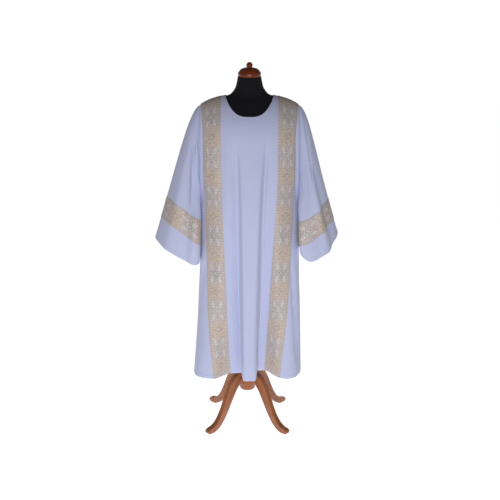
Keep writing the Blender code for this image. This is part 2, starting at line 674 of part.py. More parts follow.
def make_stand():
    pole_low, pole_high = HUB_HIGH + SEAM, FORM[0].height - SEAM
    ends = ((POLE_RADIUS, pole_low), (POLE_RADIUS, pole_high))
    turned("form_pole", ends, POLE_SIDES, "steel", STAND_X, STAND_Y)
    profile = (
        (HUB_END, HUB_LOW),
        (HUB_RADIUS, HUB_LOW + HUB_ROUND),
        (HUB_RADIUS, HUB_SHOULDER),
        (HUB_COLLAR, HUB_SHOULDER + HUB_ROUND),
        (HUB_END, HUB_HIGH),
    )
    turned("base_hub", profile, TURNED_SIDES, "wood", STAND_X, STAND_Y)


def leg_outline():
    """The leg's side view, as radius and height: along the top, round the toe, back below."""
    share = np.linspace(0, 1, LEG_STEPS + 1)[:, None]
    a, b, c, d = (np.array(p) for p in LEG_PATH)
    middle = bezier(a, b, c, d, share)
    heading = unit(np.gradient(middle, axis=0))
    across = np.stack([-heading[:, 1], heading[:, 0]], axis=1)
    places, sizes = zip(*LEG_HALF_HEIGHT)
    half = smooth_lookup(places, sizes, share[:, 0])[:, None]
    top, below = middle + across * half, middle - across * half
    toe_angles = np.linspace(90, -90, TOE_STEPS + 2)[1:-1]
    turn, size = np.radians(toe_angles), LEG_HALF_HEIGHT[-1][1]
    toe = np.stack([d[0] + TOE_REACH * size * np.cos(turn), d[1] + size * np.sin(turn)], axis=1)
    outline = np.vstack([top, toe, below[::-1]])
    outline[:, 1] = np.maximum(outline[:, 1], 0)  # the toe is flat where it stands
    outline[0, 0] = outline[-1, 0] = LEG_PATH[0][0]
    return outline


def make_legs():
    outline = leg_outline()
    count = len(outline)
    for number, azimuth in enumerate(LEG_AZIMUTHS_DEG, start=1):
        name = f"base_leg_{number}"
        near = [(r, -LEG_THICK / 2, z) for r, z in outline]
        far = [(r, LEG_THICK / 2, z) for r, z in outline]
        faces = [tuple(reversed(range(count))), tuple(range(count, 2 * count))]
        for j in range(count):
            k = (j + 1) % count
            faces.append((j, k, count + k, count + j))
        leg = new_object(name, near + far, faces, "wood", STAND_X, STAND_Y)
        leg.data.shade_flat()
        leg.rotation_euler = (0, 0, math.radians(azimuth))


def main():
    for obj in list(bpy.data.objects):
        bpy.data.objects.remove(obj)
    make_torso()
    make_cap()
    make_stand()
    make_legs()
    make_dalmatic()


main()
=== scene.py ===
"""The looks of a dalmatic on a limbless dress form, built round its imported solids.

Metres, +Z up, the front faces -Y, left and right are the viewer's. The cloth's surfaces are the
solids' own surfaces at a finer grid, with the finer creases, hems, seams and stitches added.
"""

import json
import math
from collections import namedtuple
from functools import partial, reduce

import bmesh
import bpy
import numpy as np
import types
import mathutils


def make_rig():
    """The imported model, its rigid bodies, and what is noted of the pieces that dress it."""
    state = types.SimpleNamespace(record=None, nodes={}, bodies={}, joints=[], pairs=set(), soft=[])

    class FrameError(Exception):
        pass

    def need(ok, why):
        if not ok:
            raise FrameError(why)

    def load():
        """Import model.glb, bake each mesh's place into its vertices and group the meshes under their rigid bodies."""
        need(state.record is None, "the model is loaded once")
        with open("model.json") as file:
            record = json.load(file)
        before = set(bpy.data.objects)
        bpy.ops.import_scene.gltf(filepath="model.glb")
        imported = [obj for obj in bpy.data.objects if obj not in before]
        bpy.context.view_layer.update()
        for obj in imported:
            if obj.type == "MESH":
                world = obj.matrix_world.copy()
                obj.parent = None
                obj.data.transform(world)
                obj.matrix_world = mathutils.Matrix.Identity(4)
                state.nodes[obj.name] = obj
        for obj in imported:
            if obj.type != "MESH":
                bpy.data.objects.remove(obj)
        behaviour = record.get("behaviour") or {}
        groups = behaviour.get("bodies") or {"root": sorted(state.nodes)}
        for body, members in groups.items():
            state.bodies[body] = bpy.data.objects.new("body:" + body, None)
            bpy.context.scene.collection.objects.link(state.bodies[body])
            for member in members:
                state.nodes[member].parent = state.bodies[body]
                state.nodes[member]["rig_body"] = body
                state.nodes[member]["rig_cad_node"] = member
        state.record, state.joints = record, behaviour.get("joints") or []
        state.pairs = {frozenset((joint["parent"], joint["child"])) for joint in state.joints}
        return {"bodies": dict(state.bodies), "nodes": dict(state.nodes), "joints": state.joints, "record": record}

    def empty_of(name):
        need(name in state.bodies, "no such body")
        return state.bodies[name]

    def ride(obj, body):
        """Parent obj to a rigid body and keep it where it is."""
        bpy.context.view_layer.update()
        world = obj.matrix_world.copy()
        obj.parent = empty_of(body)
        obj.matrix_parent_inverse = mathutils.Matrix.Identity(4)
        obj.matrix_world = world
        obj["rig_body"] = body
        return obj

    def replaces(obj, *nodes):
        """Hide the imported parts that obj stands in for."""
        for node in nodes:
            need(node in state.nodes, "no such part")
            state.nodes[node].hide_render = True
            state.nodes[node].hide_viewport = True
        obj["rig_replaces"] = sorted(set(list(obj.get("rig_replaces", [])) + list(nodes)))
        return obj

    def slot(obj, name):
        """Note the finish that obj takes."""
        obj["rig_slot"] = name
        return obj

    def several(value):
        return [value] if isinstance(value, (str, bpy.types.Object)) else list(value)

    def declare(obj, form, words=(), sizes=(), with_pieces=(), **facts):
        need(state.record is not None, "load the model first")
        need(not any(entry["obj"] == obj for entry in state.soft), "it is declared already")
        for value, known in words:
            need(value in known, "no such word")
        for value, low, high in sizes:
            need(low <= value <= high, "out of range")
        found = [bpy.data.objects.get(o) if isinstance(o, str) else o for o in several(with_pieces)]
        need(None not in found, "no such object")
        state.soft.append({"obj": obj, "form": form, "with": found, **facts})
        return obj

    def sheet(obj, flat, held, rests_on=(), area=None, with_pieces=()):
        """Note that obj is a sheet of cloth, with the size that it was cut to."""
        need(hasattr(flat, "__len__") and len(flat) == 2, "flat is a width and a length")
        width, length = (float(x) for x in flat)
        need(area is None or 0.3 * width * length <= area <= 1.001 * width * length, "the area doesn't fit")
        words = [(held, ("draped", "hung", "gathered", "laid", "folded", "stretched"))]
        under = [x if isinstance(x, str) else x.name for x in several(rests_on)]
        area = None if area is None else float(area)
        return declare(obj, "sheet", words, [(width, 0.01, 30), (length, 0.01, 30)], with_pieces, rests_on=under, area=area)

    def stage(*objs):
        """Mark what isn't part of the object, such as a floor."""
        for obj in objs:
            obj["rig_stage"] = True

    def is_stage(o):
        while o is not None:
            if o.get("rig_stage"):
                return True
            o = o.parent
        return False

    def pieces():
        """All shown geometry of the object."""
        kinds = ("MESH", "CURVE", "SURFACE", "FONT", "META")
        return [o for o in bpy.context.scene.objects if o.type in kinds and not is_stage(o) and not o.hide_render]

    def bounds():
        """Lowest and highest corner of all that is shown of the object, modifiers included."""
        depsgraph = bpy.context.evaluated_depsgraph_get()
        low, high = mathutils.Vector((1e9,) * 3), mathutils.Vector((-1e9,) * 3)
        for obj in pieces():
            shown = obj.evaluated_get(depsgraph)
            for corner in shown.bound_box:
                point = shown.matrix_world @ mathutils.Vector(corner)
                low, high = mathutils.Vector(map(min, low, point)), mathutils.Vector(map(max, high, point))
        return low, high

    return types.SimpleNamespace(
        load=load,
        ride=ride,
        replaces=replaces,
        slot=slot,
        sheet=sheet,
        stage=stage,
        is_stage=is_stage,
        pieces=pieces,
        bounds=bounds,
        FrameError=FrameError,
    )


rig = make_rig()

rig.load()
cad_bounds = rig.bounds()


def table(kind, *rows):
    """A table's rows, each with the kind's named columns."""
    return tuple(kind(*row) for row in rows)


# ---------------------------------------------------------------- the cut, as in the solids
CLOTH = 0.0012
GALLOON = 0.0010
SEAM = 0.0003

HEM = 0.263
UNDERARM = 1.080
NECK_X, NECK_Z = 0.106, 1.540
SHOULDER_X = 0.2235
SHOULDER_SLOPE, SHOULDER_DROOP = 0.22, 12.0
NECK_REACH = {"front": 0.1145, "back": 0.0735}
NECK_POWER = 2.7
YOKE_FULLNESS = {"front": 1.0, "back": 0.8}
CHEST_Z = {"front": 1.330, "back": 1.352}
ARMHOLE_DEPTH = {"front": 0.056, "back": 0.060}

BAND_WIDTH = 0.090
BAND_IN_TOP, BAND_IN_HEM = 0.1265, 0.138
BAND_FLARE_Z = 0.900
EVEN_COLUMNS = (1.45, 0.85)
HEM_LIFT_Z = 0.900
FOLD_FADE = 3.0
AXIS_X = 0.0145  # the form's axis

# The finer grid: cells between the named lines of the cut.
CELLS = (40, 18, 22)  # centre, band and side
ROWS = (26, 22, 60)  # yoke, armhole and skirt
RINGS = (44, 18, 12)  # plain sleeve, band and cuff
BAND_EDGE = (0.0, 0.010, 0.022, 0.036, 0.060)  # the band's columns crowd together at its edges
CAD_RINGS = (0, 7, 9, 11)  # the solids' rings at the armhole, the band's edges and the cuff
SECTION_POINTS, THREAD_POINTS = 1201, 241
SEAM_CROWDING, YOKE_CROWDING = 1.7, 1.5  # the columns and rows crowd together at the seams
HEM_ROWS = (0.030, 0.0262, 0.0234, 0.0216, 0.0200, 0.0184, 0.0166, 0.0138, 0.0080, 0.0030, 0.0)

Section = namedtuple("Section", "height left right front back power turn_deg")
BODY = table(
    Section,
    (1.352, 0.2268, 0.2268, 0.1375, 0.1200, 2.0, 64),
    (1.330, 0.2270, 0.2270, 0.1380, 0.1205, 2.0, 65),
    (1.200, 0.2275, 0.2275, 0.1400, 0.1220, 2.1, 76),
    (1.080, 0.2270, 0.2270, 0.1420, 0.1250, 2.3, 90),
    (0.780, 0.2300, 0.2310, 0.1460, 0.1400, 2.5, 90),
    (0.500, 0.2460, 0.2400, 0.1510, 0.1560, 3.1, 90),
    (HEM, 0.2640, 0.2445, 0.1570, 0.1690, 4.4, 90),
)

Fold = namedtuple("Fold", "name start left_top left_hem right_top right_hem soft_left soft_right depth lift")
FOLDS = {
    "front": table(
        Fold,
        ("recess left", 1.34, -0.104, -0.118, -0.052, -0.034, (0.050, 0.082), (0.040, 0.010), -0.033, 0.008),
        ("centre pleat", 1.32, -0.052, -0.034, 0.064, 0.033, (0.044, 0.010), (0.044, 0.010), 0.028, -0.006),
        ("recess right", 1.34, 0.064, 0.033, 0.104, 0.104, (0.040, 0.010), (0.050, 0.074), -0.052, 0.014),
        ("side roll left", 1.05, -0.26, -0.262, -0.20, -0.146, (0.030, 0.030), (0.060, 0.056), 0.016, -0.002),
        ("side roll right", 1.10, 0.190, 0.148, 0.236, 0.222, (0.060, 0.056), (0.030, 0.030), 0.018, -0.003),
    ),
    "back": table(
        Fold,
        ("back pleat left", 1.3, -0.12, -0.108, -0.03, -0.052, (0.050, 0.016), (0.050, 0.020), 0.034, -0.005),
        ("back recess", 1.33, -0.036, -0.046, 0.030, 0.030, (0.050, 0.020), (0.050, 0.026), -0.030, 0.007),
        ("back pleat right", 1.28, 0.026, 0.036, 0.110, 0.094, (0.050, 0.024), (0.050, 0.018), 0.030, -0.004),
        ("back roll left", 1.10, -0.230, -0.236, -0.176, -0.160, (0.040, 0.040), (0.050, 0.050), 0.018, 0.0),
        ("back roll right", 1.12, 0.180, 0.170, 0.232, 0.226, (0.050, 0.060), (0.040, 0.040), 0.020, 0.0),
    ),
}

# The finer creases: soft troughs (-) and ridges (+) from one point of the panel down to another,
# as x and height, with a half width on their right. Each fades at both ends, may bow to the
# right, and may be wider on its left.
Crease = namedtuple(
    "Crease", "x_from z_from x_to z_to half_width depth bow left_wider fade", defaults=(0.0, 1.0, 0.35)
)
CREASE_CLEAR = 0.010  # the creases fade towards the side seams, which two panels share
BODY_HALF, BODY_DEPTH = 0.240, 0.150
FACES, SIDES = ("front", "back"), ("left", "right")
FLIPS = {"front": False, "back": True, "left": False, "right": True}  # grids that run the other way
CREASES = {
    "front": table(
        Crease,
        (-0.090, 1.36, -0.082, 0.20, 0.014, 0.0050, 0.0, 1.6, 0.25),
        (-0.057, 1.38, -0.034, 0.20, 0.008, -0.0135, 0.005, 2.4, 0.18),
        (-0.047, 0.90, -0.035, 0.20, 0.008, -0.0050, 0.0, 2.3, 0.25),
        (0.080, 1.40, 0.028, 0.20, 0.011, -0.0120, -0.008, 0.9, 0.18),
        (0.094, 1.34, 0.070, 0.60, 0.012, 0.0035, -0.004, 1.0, 0.25),
        (-0.120, 1.42, -0.124, 1.00, 0.013, -0.0050, 0.0, 1.0, 0.25),
        (0.012, 1.02, 0.008, 0.40, 0.014, -0.0010),
        (-0.210, 1.48, -0.213, 1.00, 0.006, -0.0060),
        (0.206, 1.47, 0.213, 0.98, 0.006, -0.0060),
        (-0.200, 0.94, -0.236, 0.52, 0.011, 0.0050),
        (0.200, 0.88, 0.226, 0.40, 0.011, 0.0050),
        (-0.090, 0.74, -0.096, 0.30, 0.014, 0.0020),
        (0.086, 0.70, 0.088, 0.31, 0.012, 0.0020),
        (-0.222, 0.56, -0.238, 0.28, 0.010, -0.0030),
        (-0.198, 0.84, -0.240, 0.50, 0.005, -0.0070, 0.0, 1.0, 0.25),
        (0.192, 0.80, 0.228, 0.28, 0.008, -0.0110, 0.0, 1.0, 0.20),
    ),
    "back": table(
        Crease,
        (-0.075, 1.38, -0.084, 0.92, 0.014, 0.0020),
        (0.066, 1.36, 0.074, 0.98, 0.013, 0.0018),
        (0.000, 1.30, -0.008, 0.80, 0.016, -0.0014),
        (-0.196, 1.26, -0.206, 0.84, 0.010, -0.0022),
        (0.190, 1.24, 0.200, 0.78, 0.011, -0.0022),
        (-0.140, 0.74, -0.150, 0.31, 0.012, -0.0016),
        (0.130, 0.66, 0.136, 0.30, 0.012, -0.0016),
        (-0.216, 0.72, -0.236, 0.36, 0.010, 0.0024),
        (0.214, 0.78, 0.228, 0.34, 0.010, 0.0022),
        (-0.010, 0.62, -0.012, 0.30, 0.010, 0.0012),
    ),
}

CuffPoint = namedtuple("CuffPoint", "place x y z")
CUFFS = {
    "left": table(
        CuffPoint,
        ("top fold", 0.4370, 0.000, 0.896),
        ("front top", 0.4000, -0.072, 0.870),
        ("front", 0.3360, -0.108, 0.832),
        ("front low", 0.2560, -0.108, 0.789),
        ("underarm", 0.2320, -0.062, 0.803),
        ("back low", 0.2580, 0.045, 0.803),
        ("back", 0.3280, 0.092, 0.842),
        ("back top", 0.3980, 0.070, 0.880),
    ),
    "right": table(
        CuffPoint,
        ("top fold", 0.4090, 0.006, 0.918),
        ("front top", 0.3860, -0.054, 0.878),
        ("front", 0.3340, -0.103, 0.830),
        ("front low", 0.2720, -0.111, 0.804),
        ("underarm", 0.2330, -0.062, 0.852),
        ("back low", 0.2580, 0.045, 0.838),
        ("back", 0.3220, 0.092, 0.852),
        ("back top", 0.3780, 0.070, 0.888),
    ),
}
UNDERARM_ROW, CUFF_SAMPLES = 4, 40
# On the front of the sleeves, by the distance out from the middle of the body.
SLEEVE_FRONT_CREASES = {
    "left": table(
        Crease,
        (0.2525, 1.450, 0.2515, 0.970, 0.009, -0.0130, 0.0, 1.2, 0.20),
        (0.2335, 1.420, 0.2325, 0.920, 0.007, 0.0060, 0.0, 1.0, 0.15),
    ),
    "right": table(
        Crease,
        (0.2760, 1.270, 0.3620, 0.910, 0.010, -0.0070, 0.0, 1.0, 0.25),
    ),
}
FRONT_FADE = 0.4
SEAM_SHARE = 0.03  # the folds start this far down the sleeve
BandPlane = namedtuple("BandPlane", "height rise_out rise_back")
SLEEVE_BANDS = {"left": BandPlane(0.928, 0.80, -0.25), "right": BandPlane(0.912, 0.72, 0.10)}
BAND_PLANE_X, BAND_PLANE_Y = 0.30, -0.10
SLEEVE_START_TOP = np.array((0.81, 0.0, -0.58))
SLEEVE_START_LOW = np.array((0.50, 0.0, -0.87))
SLEEVE_END_TOP = np.array((0.30, 0.0, -0.95))
SLEEVE_END_LOW = np.array((0.02, 0.0, -1.00))
START_BOW = 0.24
SLEEVE_FOLD_SPREAD = 0.5
HANDLE_START, HANDLE_END = 0.10, 0.62

# A sleeve fold runs along the sleeve: at is the place round it, 0 the top fold, 0.25 the front,
# 0.5 the underarm and 0.75 the back. The finer creases run from one share of its length to another.
SleeveFold = namedtuple("SleeveFold", "name at_top at_cuff half_width depth start")
SLEEVE_FOLDS = {
    "left": table(
        SleeveFold,
        ("front trough", 0.36, 0.345, 0.060, -0.010, 0.10),
        ("front ridge", 0.20, 0.190, 0.080, 0.006, 0.20),
        ("back trough", 0.68, 0.690, 0.070, -0.014, 0.15),
        ("back ridge", 0.80, 0.810, 0.060, 0.008, 0.20),
    ),
    "right": table(
        SleeveFold,
        ("front ridge", 0.23, 0.215, 0.070, 0.012, 0.05),
        ("outer trough", 0.125, 0.120, 0.055, -0.004, 0.10),
        ("back trough", 0.70, 0.680, 0.070, -0.014, 0.15),
        ("back ridge", 0.82, 0.820, 0.060, 0.008, 0.20),
    ),
}
SleeveCrease = namedtuple(
    "SleeveCrease", "at_from share_from at_to share_to half_width depth curve fade", defaults=(1.0, 0.35)
)
SLEEVE_CREASES = {
    "left": table(
        SleeveCrease,
        (0.15, 0.02, 0.17, 0.42, 0.022, 0.0024),
        (0.42, -0.25, 0.43, 1.30, 0.050, 0.0205),
        (0.66, 0.08, 0.71, 0.70, 0.020, -0.0050),
        (0.84, 0.02, 0.83, 0.55, 0.022, 0.0026),
        (0.58, 0.35, 0.60, 0.92, 0.018, -0.0030),
    ),
    "right": table(
        SleeveCrease,
        (0.30, 0.03, 0.34, 0.50, 0.018, -0.0050),
        (0.00, 0.02, 0.24, 0.34, 0.030, -0.0070, 0.6, 0.15),
        (0.24, 0.16, 0.165, 0.98, 0.022, -0.0050),
        (0.42, -0.20, 0.43, 1.30, 0.056, 0.0240),
        (0.68, 0.06, 0.72, 0.65, 0.020, -0.0050),
        (0.86, 0.04, 0.84, 0.60, 0.022, 0.0026),
        (0.59, 0.30, 0.61, 0.90, 0.018, -0.0030),
    ),
}

# Hems, seams and stitches.
TURNED, TURN_SOFT, HEM_SWELL = 0.0009, 0.0012, 0.0002  # the turned cloth's thickness and step
HEM_FOLD = 0.020  # depth of the turned hem, where its stitching runs
NECK_FOLD = 0.010
DITCH_HALF, DITCH_DEPTH = 0.0022, 0.0007  # the line that the stitches pull in
SEAM_HALF, SEAM_DEPTH = 0.0042, 0.0020
SHOULDER_SHARE = 0.2  # the shoulder seams are shallow, because the form is just under them
STITCH_LONG, STITCH_PITCH, STITCH_WIDE, STITCH_HIGH = 0.0026, 0.0036, 0.0006, 0.0004
STITCH_LIFT = 0.0001
STITCH_FACES = ((2, 1, 4), (1, 0, 4), (0, 3, 4), (3, 2, 4), (1, 2, 5), (0, 1, 5), (3, 0, 5), (2, 3, 5))
STITCH_ROW = HEM_ROWS.index(HEM_FOLD) - len(HEM_ROWS)
NECK_ROW = 3  # a row about as far down as the neckline's stitching
BAND_STITCH_IN = 0.0026  # from a band's edge to its stitching
BAND_ROUND, BAND_ROUND_RATE, BAND_DITCH = 0.0004, 2.5, 0.0002

SAME_PLACE, SAME_PLACE_DIGITS = 1e-6, 6
SHARP_DEG, TURNED_SHARP_DEG, SMOOTH_DEG = 50, 35, 180


# ---------------------------------------------------------------- small helpers
def mix(a, b, t):
    return a + (b - a) * t


def smoothstep(t):
    t = np.clip(t, 0.0, 1.0)
    return t * t * (3 - 2 * t)


def unit(vectors):
    length = np.linalg.norm(vectors, axis=-1, keepdims=True)
    return vectors / np.maximum(length, 1e-12)


def smooth_lookup(places, values, at):
    """A curve through a table's values: cubic between rows, with no overshoot."""
    order = np.argsort(places)
    p, v = np.array(places, float)[order], np.array(values, float)[order]
    step = np.diff(v) / np.diff(p)
    slope = np.zeros(len(p))
    same_way = step[:-1] * step[1:] > 0
    total = np.where(same_way, step[:-1] + step[1:], 1.0)
    slope[1:-1] = np.where(same_way, 2 * step[:-1] * step[1:] / total, 0)
    slope[0], slope[-1] = step[0], step[-1]
    at = np.clip(at, p[0], p[-1])
    i = np.clip(np.searchsorted(p, at) - 1, 0, len(p) - 2)
    gap = p[i + 1] - p[i]
    t = (at - p[i]) / gap
    return (
        (1 + 2 * t) * (1 - t) ** 2 * v[i]
        + t * (1 - t) ** 2 * gap * slope[i]
        + t * t * (3 - 2 * t) * v[i + 1]
        + t * t * (t - 1) * gap * slope[i + 1]
    )


def sized(rows, column, height):
    """A table's column, looked up at a height."""
    return smooth_lookup([row.height for row in rows], [getattr(row, column) for row in rows], height)


def bezier(a, b, c, d, t):
    return (1 - t) ** 3 * a + 3 * t * (1 - t) ** 2 * b + 3 * t * t * (1 - t) * c + t**3 * d


def along(points):
    """Distance along a polyline at each of its points."""
    steps = np.linalg.norm(np.diff(points, axis=0), axis=1)
    return np.concatenate([[0], np.cumsum(steps)])


def line_distance(grid, axis):
    """Distance along the grid's lines from their first point."""
    steps = np.linalg.norm(np.diff(grid, axis=axis), axis=-1)
    pad = [(0, 0), (0, 0)]
    pad[axis] = (1, 0)
    return np.pad(np.cumsum(steps, axis=axis), pad)


def edge_distances(grid, axis):
    """Distance along the grid's lines from their first point, and from their last."""
    return line_distance(grid, axis), np.flip(line_distance(np.flip(grid, axis), axis), axis)


def lookup(at, distance, points):
    """The points of a line at some distances along it."""
    return np.stack([np.interp(at, distance, column) for column in points.T], axis=1)


def joined(points, axis=0):
    """The points with the first again after the last."""
    return np.concatenate([points, points.take([0], axis)], axis)


def groove(distance, middle, half):
    return np.exp(-(((distance - middle) / half) ** 2))


def faded(share, fade):
    """1 along the middle of a crease and 0 at its ends."""
    return smoothstep(share / fade) * smoothstep((1 - share) / fade)


def band_shares():
    """The band's columns, as shares of its width."""
    edge = np.array(BAND_EDGE)
    inner = np.linspace(edge[-1], 1 - edge[-1], CELLS[1] - 2 * len(edge) + 3)[1:-1]
    return np.concatenate([edge, inner, 1 - edge[::-1]])


# ---------------------------------------------------------------- the body's surface
def shoulder_height(x):
    out = np.maximum(np.abs(x) - NECK_X, 0)
    return NECK_Z - SHOULDER_SLOPE * out - SHOULDER_DROOP * out**3


def armhole_edge(face, height, inner):
    """How far the panel's edge stands from y = 0: bowed at the chest, nothing at the underarm.
    Further in, where inner nears 1, it ends with no kink."""
    chest = CHEST_Z[face]
    down = np.clip((chest - height) / (chest - UNDERARM), 0, 1)
    at_edge = (1 - inner) ** 4
    return ARMHOLE_DEPTH[face] * mix((1 - down**4) ** 2, math.sqrt(1 - down * down), at_edge)


def folded_depth(face, x, height):
    """How far the folds move the cloth out at x, and how far they lift the hem."""
    out, lift = np.zeros_like(x), np.zeros_like(x)
    for fold in FOLDS[face]:
        grown = float(np.clip((fold.start - height) / (fold.start - HEM), 0, 1))
        left = mix(fold.left_top, fold.left_hem, grown)
        right = mix(fold.right_top, fold.right_hem, grown)
        enter = smoothstep((x - left) / mix(*fold.soft_left, grown) + 0.5)
        leave = smoothstep((x - right) / mix(*fold.soft_right, grown) + 0.5)
        inside = enter * (1 - leave)
        out += fold.depth * grown * inside
        lift += fold.lift * inside
    return out, lift


def section(face, height):
    """One level section of a panel: points from the left edge to the right, the distance along
    the cloth from the centre line, and the hem's lift."""
    columns = ("left", "right", face, "power", "turn_deg")
    left, right, out, power, turn = (sized(BODY, column, height) for column in columns)
    turn, power = math.radians(turn), 2 / power
    angle = np.linspace(-turn, turn, SECTION_POINTS)
    reach = np.where(angle < 0, left, right)
    x = reach * np.sign(angle) * (np.abs(np.sin(angle)) / math.sin(turn)) ** power
    round_off = np.abs(np.cos(angle)) ** power
    low = math.cos(turn) ** power if turn < math.pi / 2 - SAME_PLACE else 0.0
    inner = (round_off - low) / (1 - low)
    depth = mix(armhole_edge(face, height, inner), out, inner)
    folds, lift = folded_depth(face, x, height)
    depth = depth + folds * smoothstep(round_off * FOLD_FADE)
    facing = -1 if face == "front" else 1
    points = np.stack([x, facing * depth, np.full_like(x, height)], axis=1)
    distance = along(points)
    return points, distance - np.interp(0.0, x, distance), lift


def band_start(height):
    """Centre line to the band's inner edge, on the cloth."""
    return mix(BAND_IN_TOP, BAND_IN_HEM, float(smoothstep((BAND_FLARE_Z - height) / (BAND_FLARE_Z - HEM))))


def side_shares(side):
    return 1 - (1 - np.arange(1, side + 1) / side) ** SEAM_CROWDING


def neck_columns(centre):
    """One side's columns on the neckline, seen from above: x, and the share of its depth."""
    turn = np.arange(centre) / (centre - 1) * math.pi / 2
    return NECK_X * np.sin(turn) ** (2 / NECK_POWER), np.abs(np.cos(turn)) ** (2 / NECK_POWER)


def column_distances(height, edge):
    """The distance of each of one side's columns from the centre line, at one height."""
    centre, _, side = CELLS
    start = band_start(height)
    round_neck = np.append(neck_columns(centre)[0], start)
    even = np.arange(centre + 1) / centre * start
    high, low = EVEN_COLUMNS
    inner = mix(round_neck, even, float(smoothstep((high - height) / (high - low))))
    on_band = start + BAND_WIDTH * band_shares()[1:]
    outer = mix(on_band[-1], edge, side_shares(side))
    return np.concatenate([inner, on_band, outer])


def panel_row(face, height):
    """One level row of a panel's grid."""
    points, distance, lift = section(face, height)
    right = column_distances(height, distance[-1])
    left = column_distances(height, -distance[0])
    at = np.concatenate([-left[:0:-1], right])
    row = lookup(at, distance, points)
    near_hem = smoothstep((HEM_LIFT_Z - height) / (HEM_LIFT_Z - HEM))
    row[:, 2] += np.interp(at, distance, lift) * near_hem
    return row


def yoke_columns():
    """Where one side's columns meet the shoulder line, as x."""
    centre, _, side = CELLS
    on_band = BAND_IN_TOP + BAND_WIDTH * band_shares()
    outer = mix(on_band[-1], SHOULDER_X, side_shares(side))
    return np.concatenate([neck_columns(centre)[0], on_band, outer])


def panel(face):
    """A panel's grid of points, rows from the shoulder and the neckline down to the hem."""
    yoke_rows, arm_rows, skirt_rows = ROWS
    centre, chest_z, fullness = CELLS[0], CHEST_Z[face], YOKE_FULLNESS[face]
    chest = panel_row(face, chest_z)
    right = yoke_columns()
    top_x = np.concatenate([-right[:0:-1], right])
    top_z = shoulder_height(top_x)
    share = np.zeros_like(right)
    share[: centre - 1] = neck_columns(centre)[1][:-1]
    neck_y = NECK_REACH[face] * np.concatenate([share[:0:-1], share])
    first = np.arcsin((neck_y / np.abs(chest[:, 1])) ** (1 / fullness))
    grid = []
    for i in range(yoke_rows):
        a = mix(first, math.pi / 2, (i / yoke_rows) ** YOKE_CROWDING)
        x = mix(top_x, chest[:, 0], np.sin(a) ** 2)
        y = chest[:, 1] * np.sin(a) ** fullness
        grid.append(np.stack([x, y, chest_z + (top_z - chest_z) * np.cos(a)], axis=1))
    down = np.sin(np.arange(arm_rows + 1) / arm_rows * math.pi / 2)
    skirt = np.arange(1, skirt_rows + 1) / skirt_rows
    heights = [*mix(chest_z, UNDERARM, down), *mix(UNDERARM, HEM + HEM_ROWS[0], skirt)]
    heights.extend(HEM + above for above in HEM_ROWS[1:])
    grid.extend(panel_row(face, height) for height in heights)
    return np.array(grid)


def away_from_body(face, grid):
    """The direction out of the body at each point, as if it had no folds."""
    across = np.clip(grid[..., 0] / BODY_HALF, -1, 1)
    facing = -1 if face == "front" else 1
    out_x = np.sign(across) * across**2 / BODY_HALF
    out_y = facing * (1 - across**2) / BODY_DEPTH
    return unit(np.stack([out_x, out_y, np.zeros_like(across)], axis=-1))


def creased(face, grid):
    """The panel with its finer creases."""
    near_edge = smoothstep(np.minimum(*edge_distances(grid, 1)) / CREASE_CLEAR)
    push = crease_push(grid, CREASES[face]) * near_edge
    return grid + away_from_body(face, grid) * push[..., None]


def crease_push(grid, creases):
    """How far a table's creases push each point, measured as they are seen from the front."""
    push = np.zeros(grid.shape[:2])
    for crease in creases:
        start = np.array([crease.x_from, crease.z_from])
        line = np.array([crease.x_to, crease.z_to]) - start
        length = np.linalg.norm(line)
        line = line / length
        from_start = grid[..., ::2] - start
        share = (from_start @ line) / length
        across = from_start @ np.array([-line[1], line[0]]) - 4 * crease.bow * share * (1 - share)
        half_width = crease.half_width * np.where(across < 0, crease.left_wider, 1.0)
        push += crease.depth * faded(share, crease.fade) * groove(across, 0, half_width)
    return push


# ---------------------------------------------------------------- the sleeves' surface
def cuff_at(side, places):
    """Points of the cuff, a smooth closed curve, at places round the sleeve: 0 the top fold, 0.5
    the underarm."""
    rows = np.array([(row.x, row.y, row.z) for row in CUFFS[side]])
    base, before, after, beyond = (np.roll(rows, by, axis=0)[:, None] for by in (0, 1, -1, -2))
    t = np.arange(CUFF_SAMPLES)[:, None] / CUFF_SAMPLES
    square = 2 * before - 5 * base + 4 * after - beyond
    cube = 3 * base - before - 3 * after + beyond
    loop = 0.5 * (2 * base + (after - before) * t + square * t * t + cube * t**3)
    loop = joined(loop.reshape(-1, 3))
    distance = along(loop)
    low, whole = distance[UNDERARM_ROW * CUFF_SAMPLES], distance[-1]
    place = np.where(distance <= low, 0.5 * distance / low, 0.5 + 0.5 * (distance - low) / (whole - low))
    return lookup(places, place, loop)


def armhole_loop(front, back, side):
    """The armhole: down the front panel's edge and up the back's, as points and their places."""
    column = 0 if side == "left" else -1
    last = ROWS[0] + ROWS[1] + 1
    down, up = front[:last, column], back[:last, column][::-1]
    going, coming = along(down), along(up)
    places = np.concatenate([0.5 * going / going[-1], 0.5 + 0.5 * coming[1:-1] / coming[-1]])
    return np.vstack([down, up[1:-1]]), places


def sleeve_rings(band_high, band_low, end):
    """Distances of the rings along one thread, crowded at the armhole and at the cuff's hem."""
    plain_rings, _, cuff_rings = RINGS
    plain = band_high * (np.arange(plain_rings) / plain_rings) ** YOKE_CROWDING
    on_band = mix(band_high, band_low, band_shares()[:-1])
    low = mix(band_low, end - HEM_ROWS[0], np.arange(cuff_rings) / cuff_rings)
    return np.concatenate([plain, on_band, low, end - np.array(HEM_ROWS)])


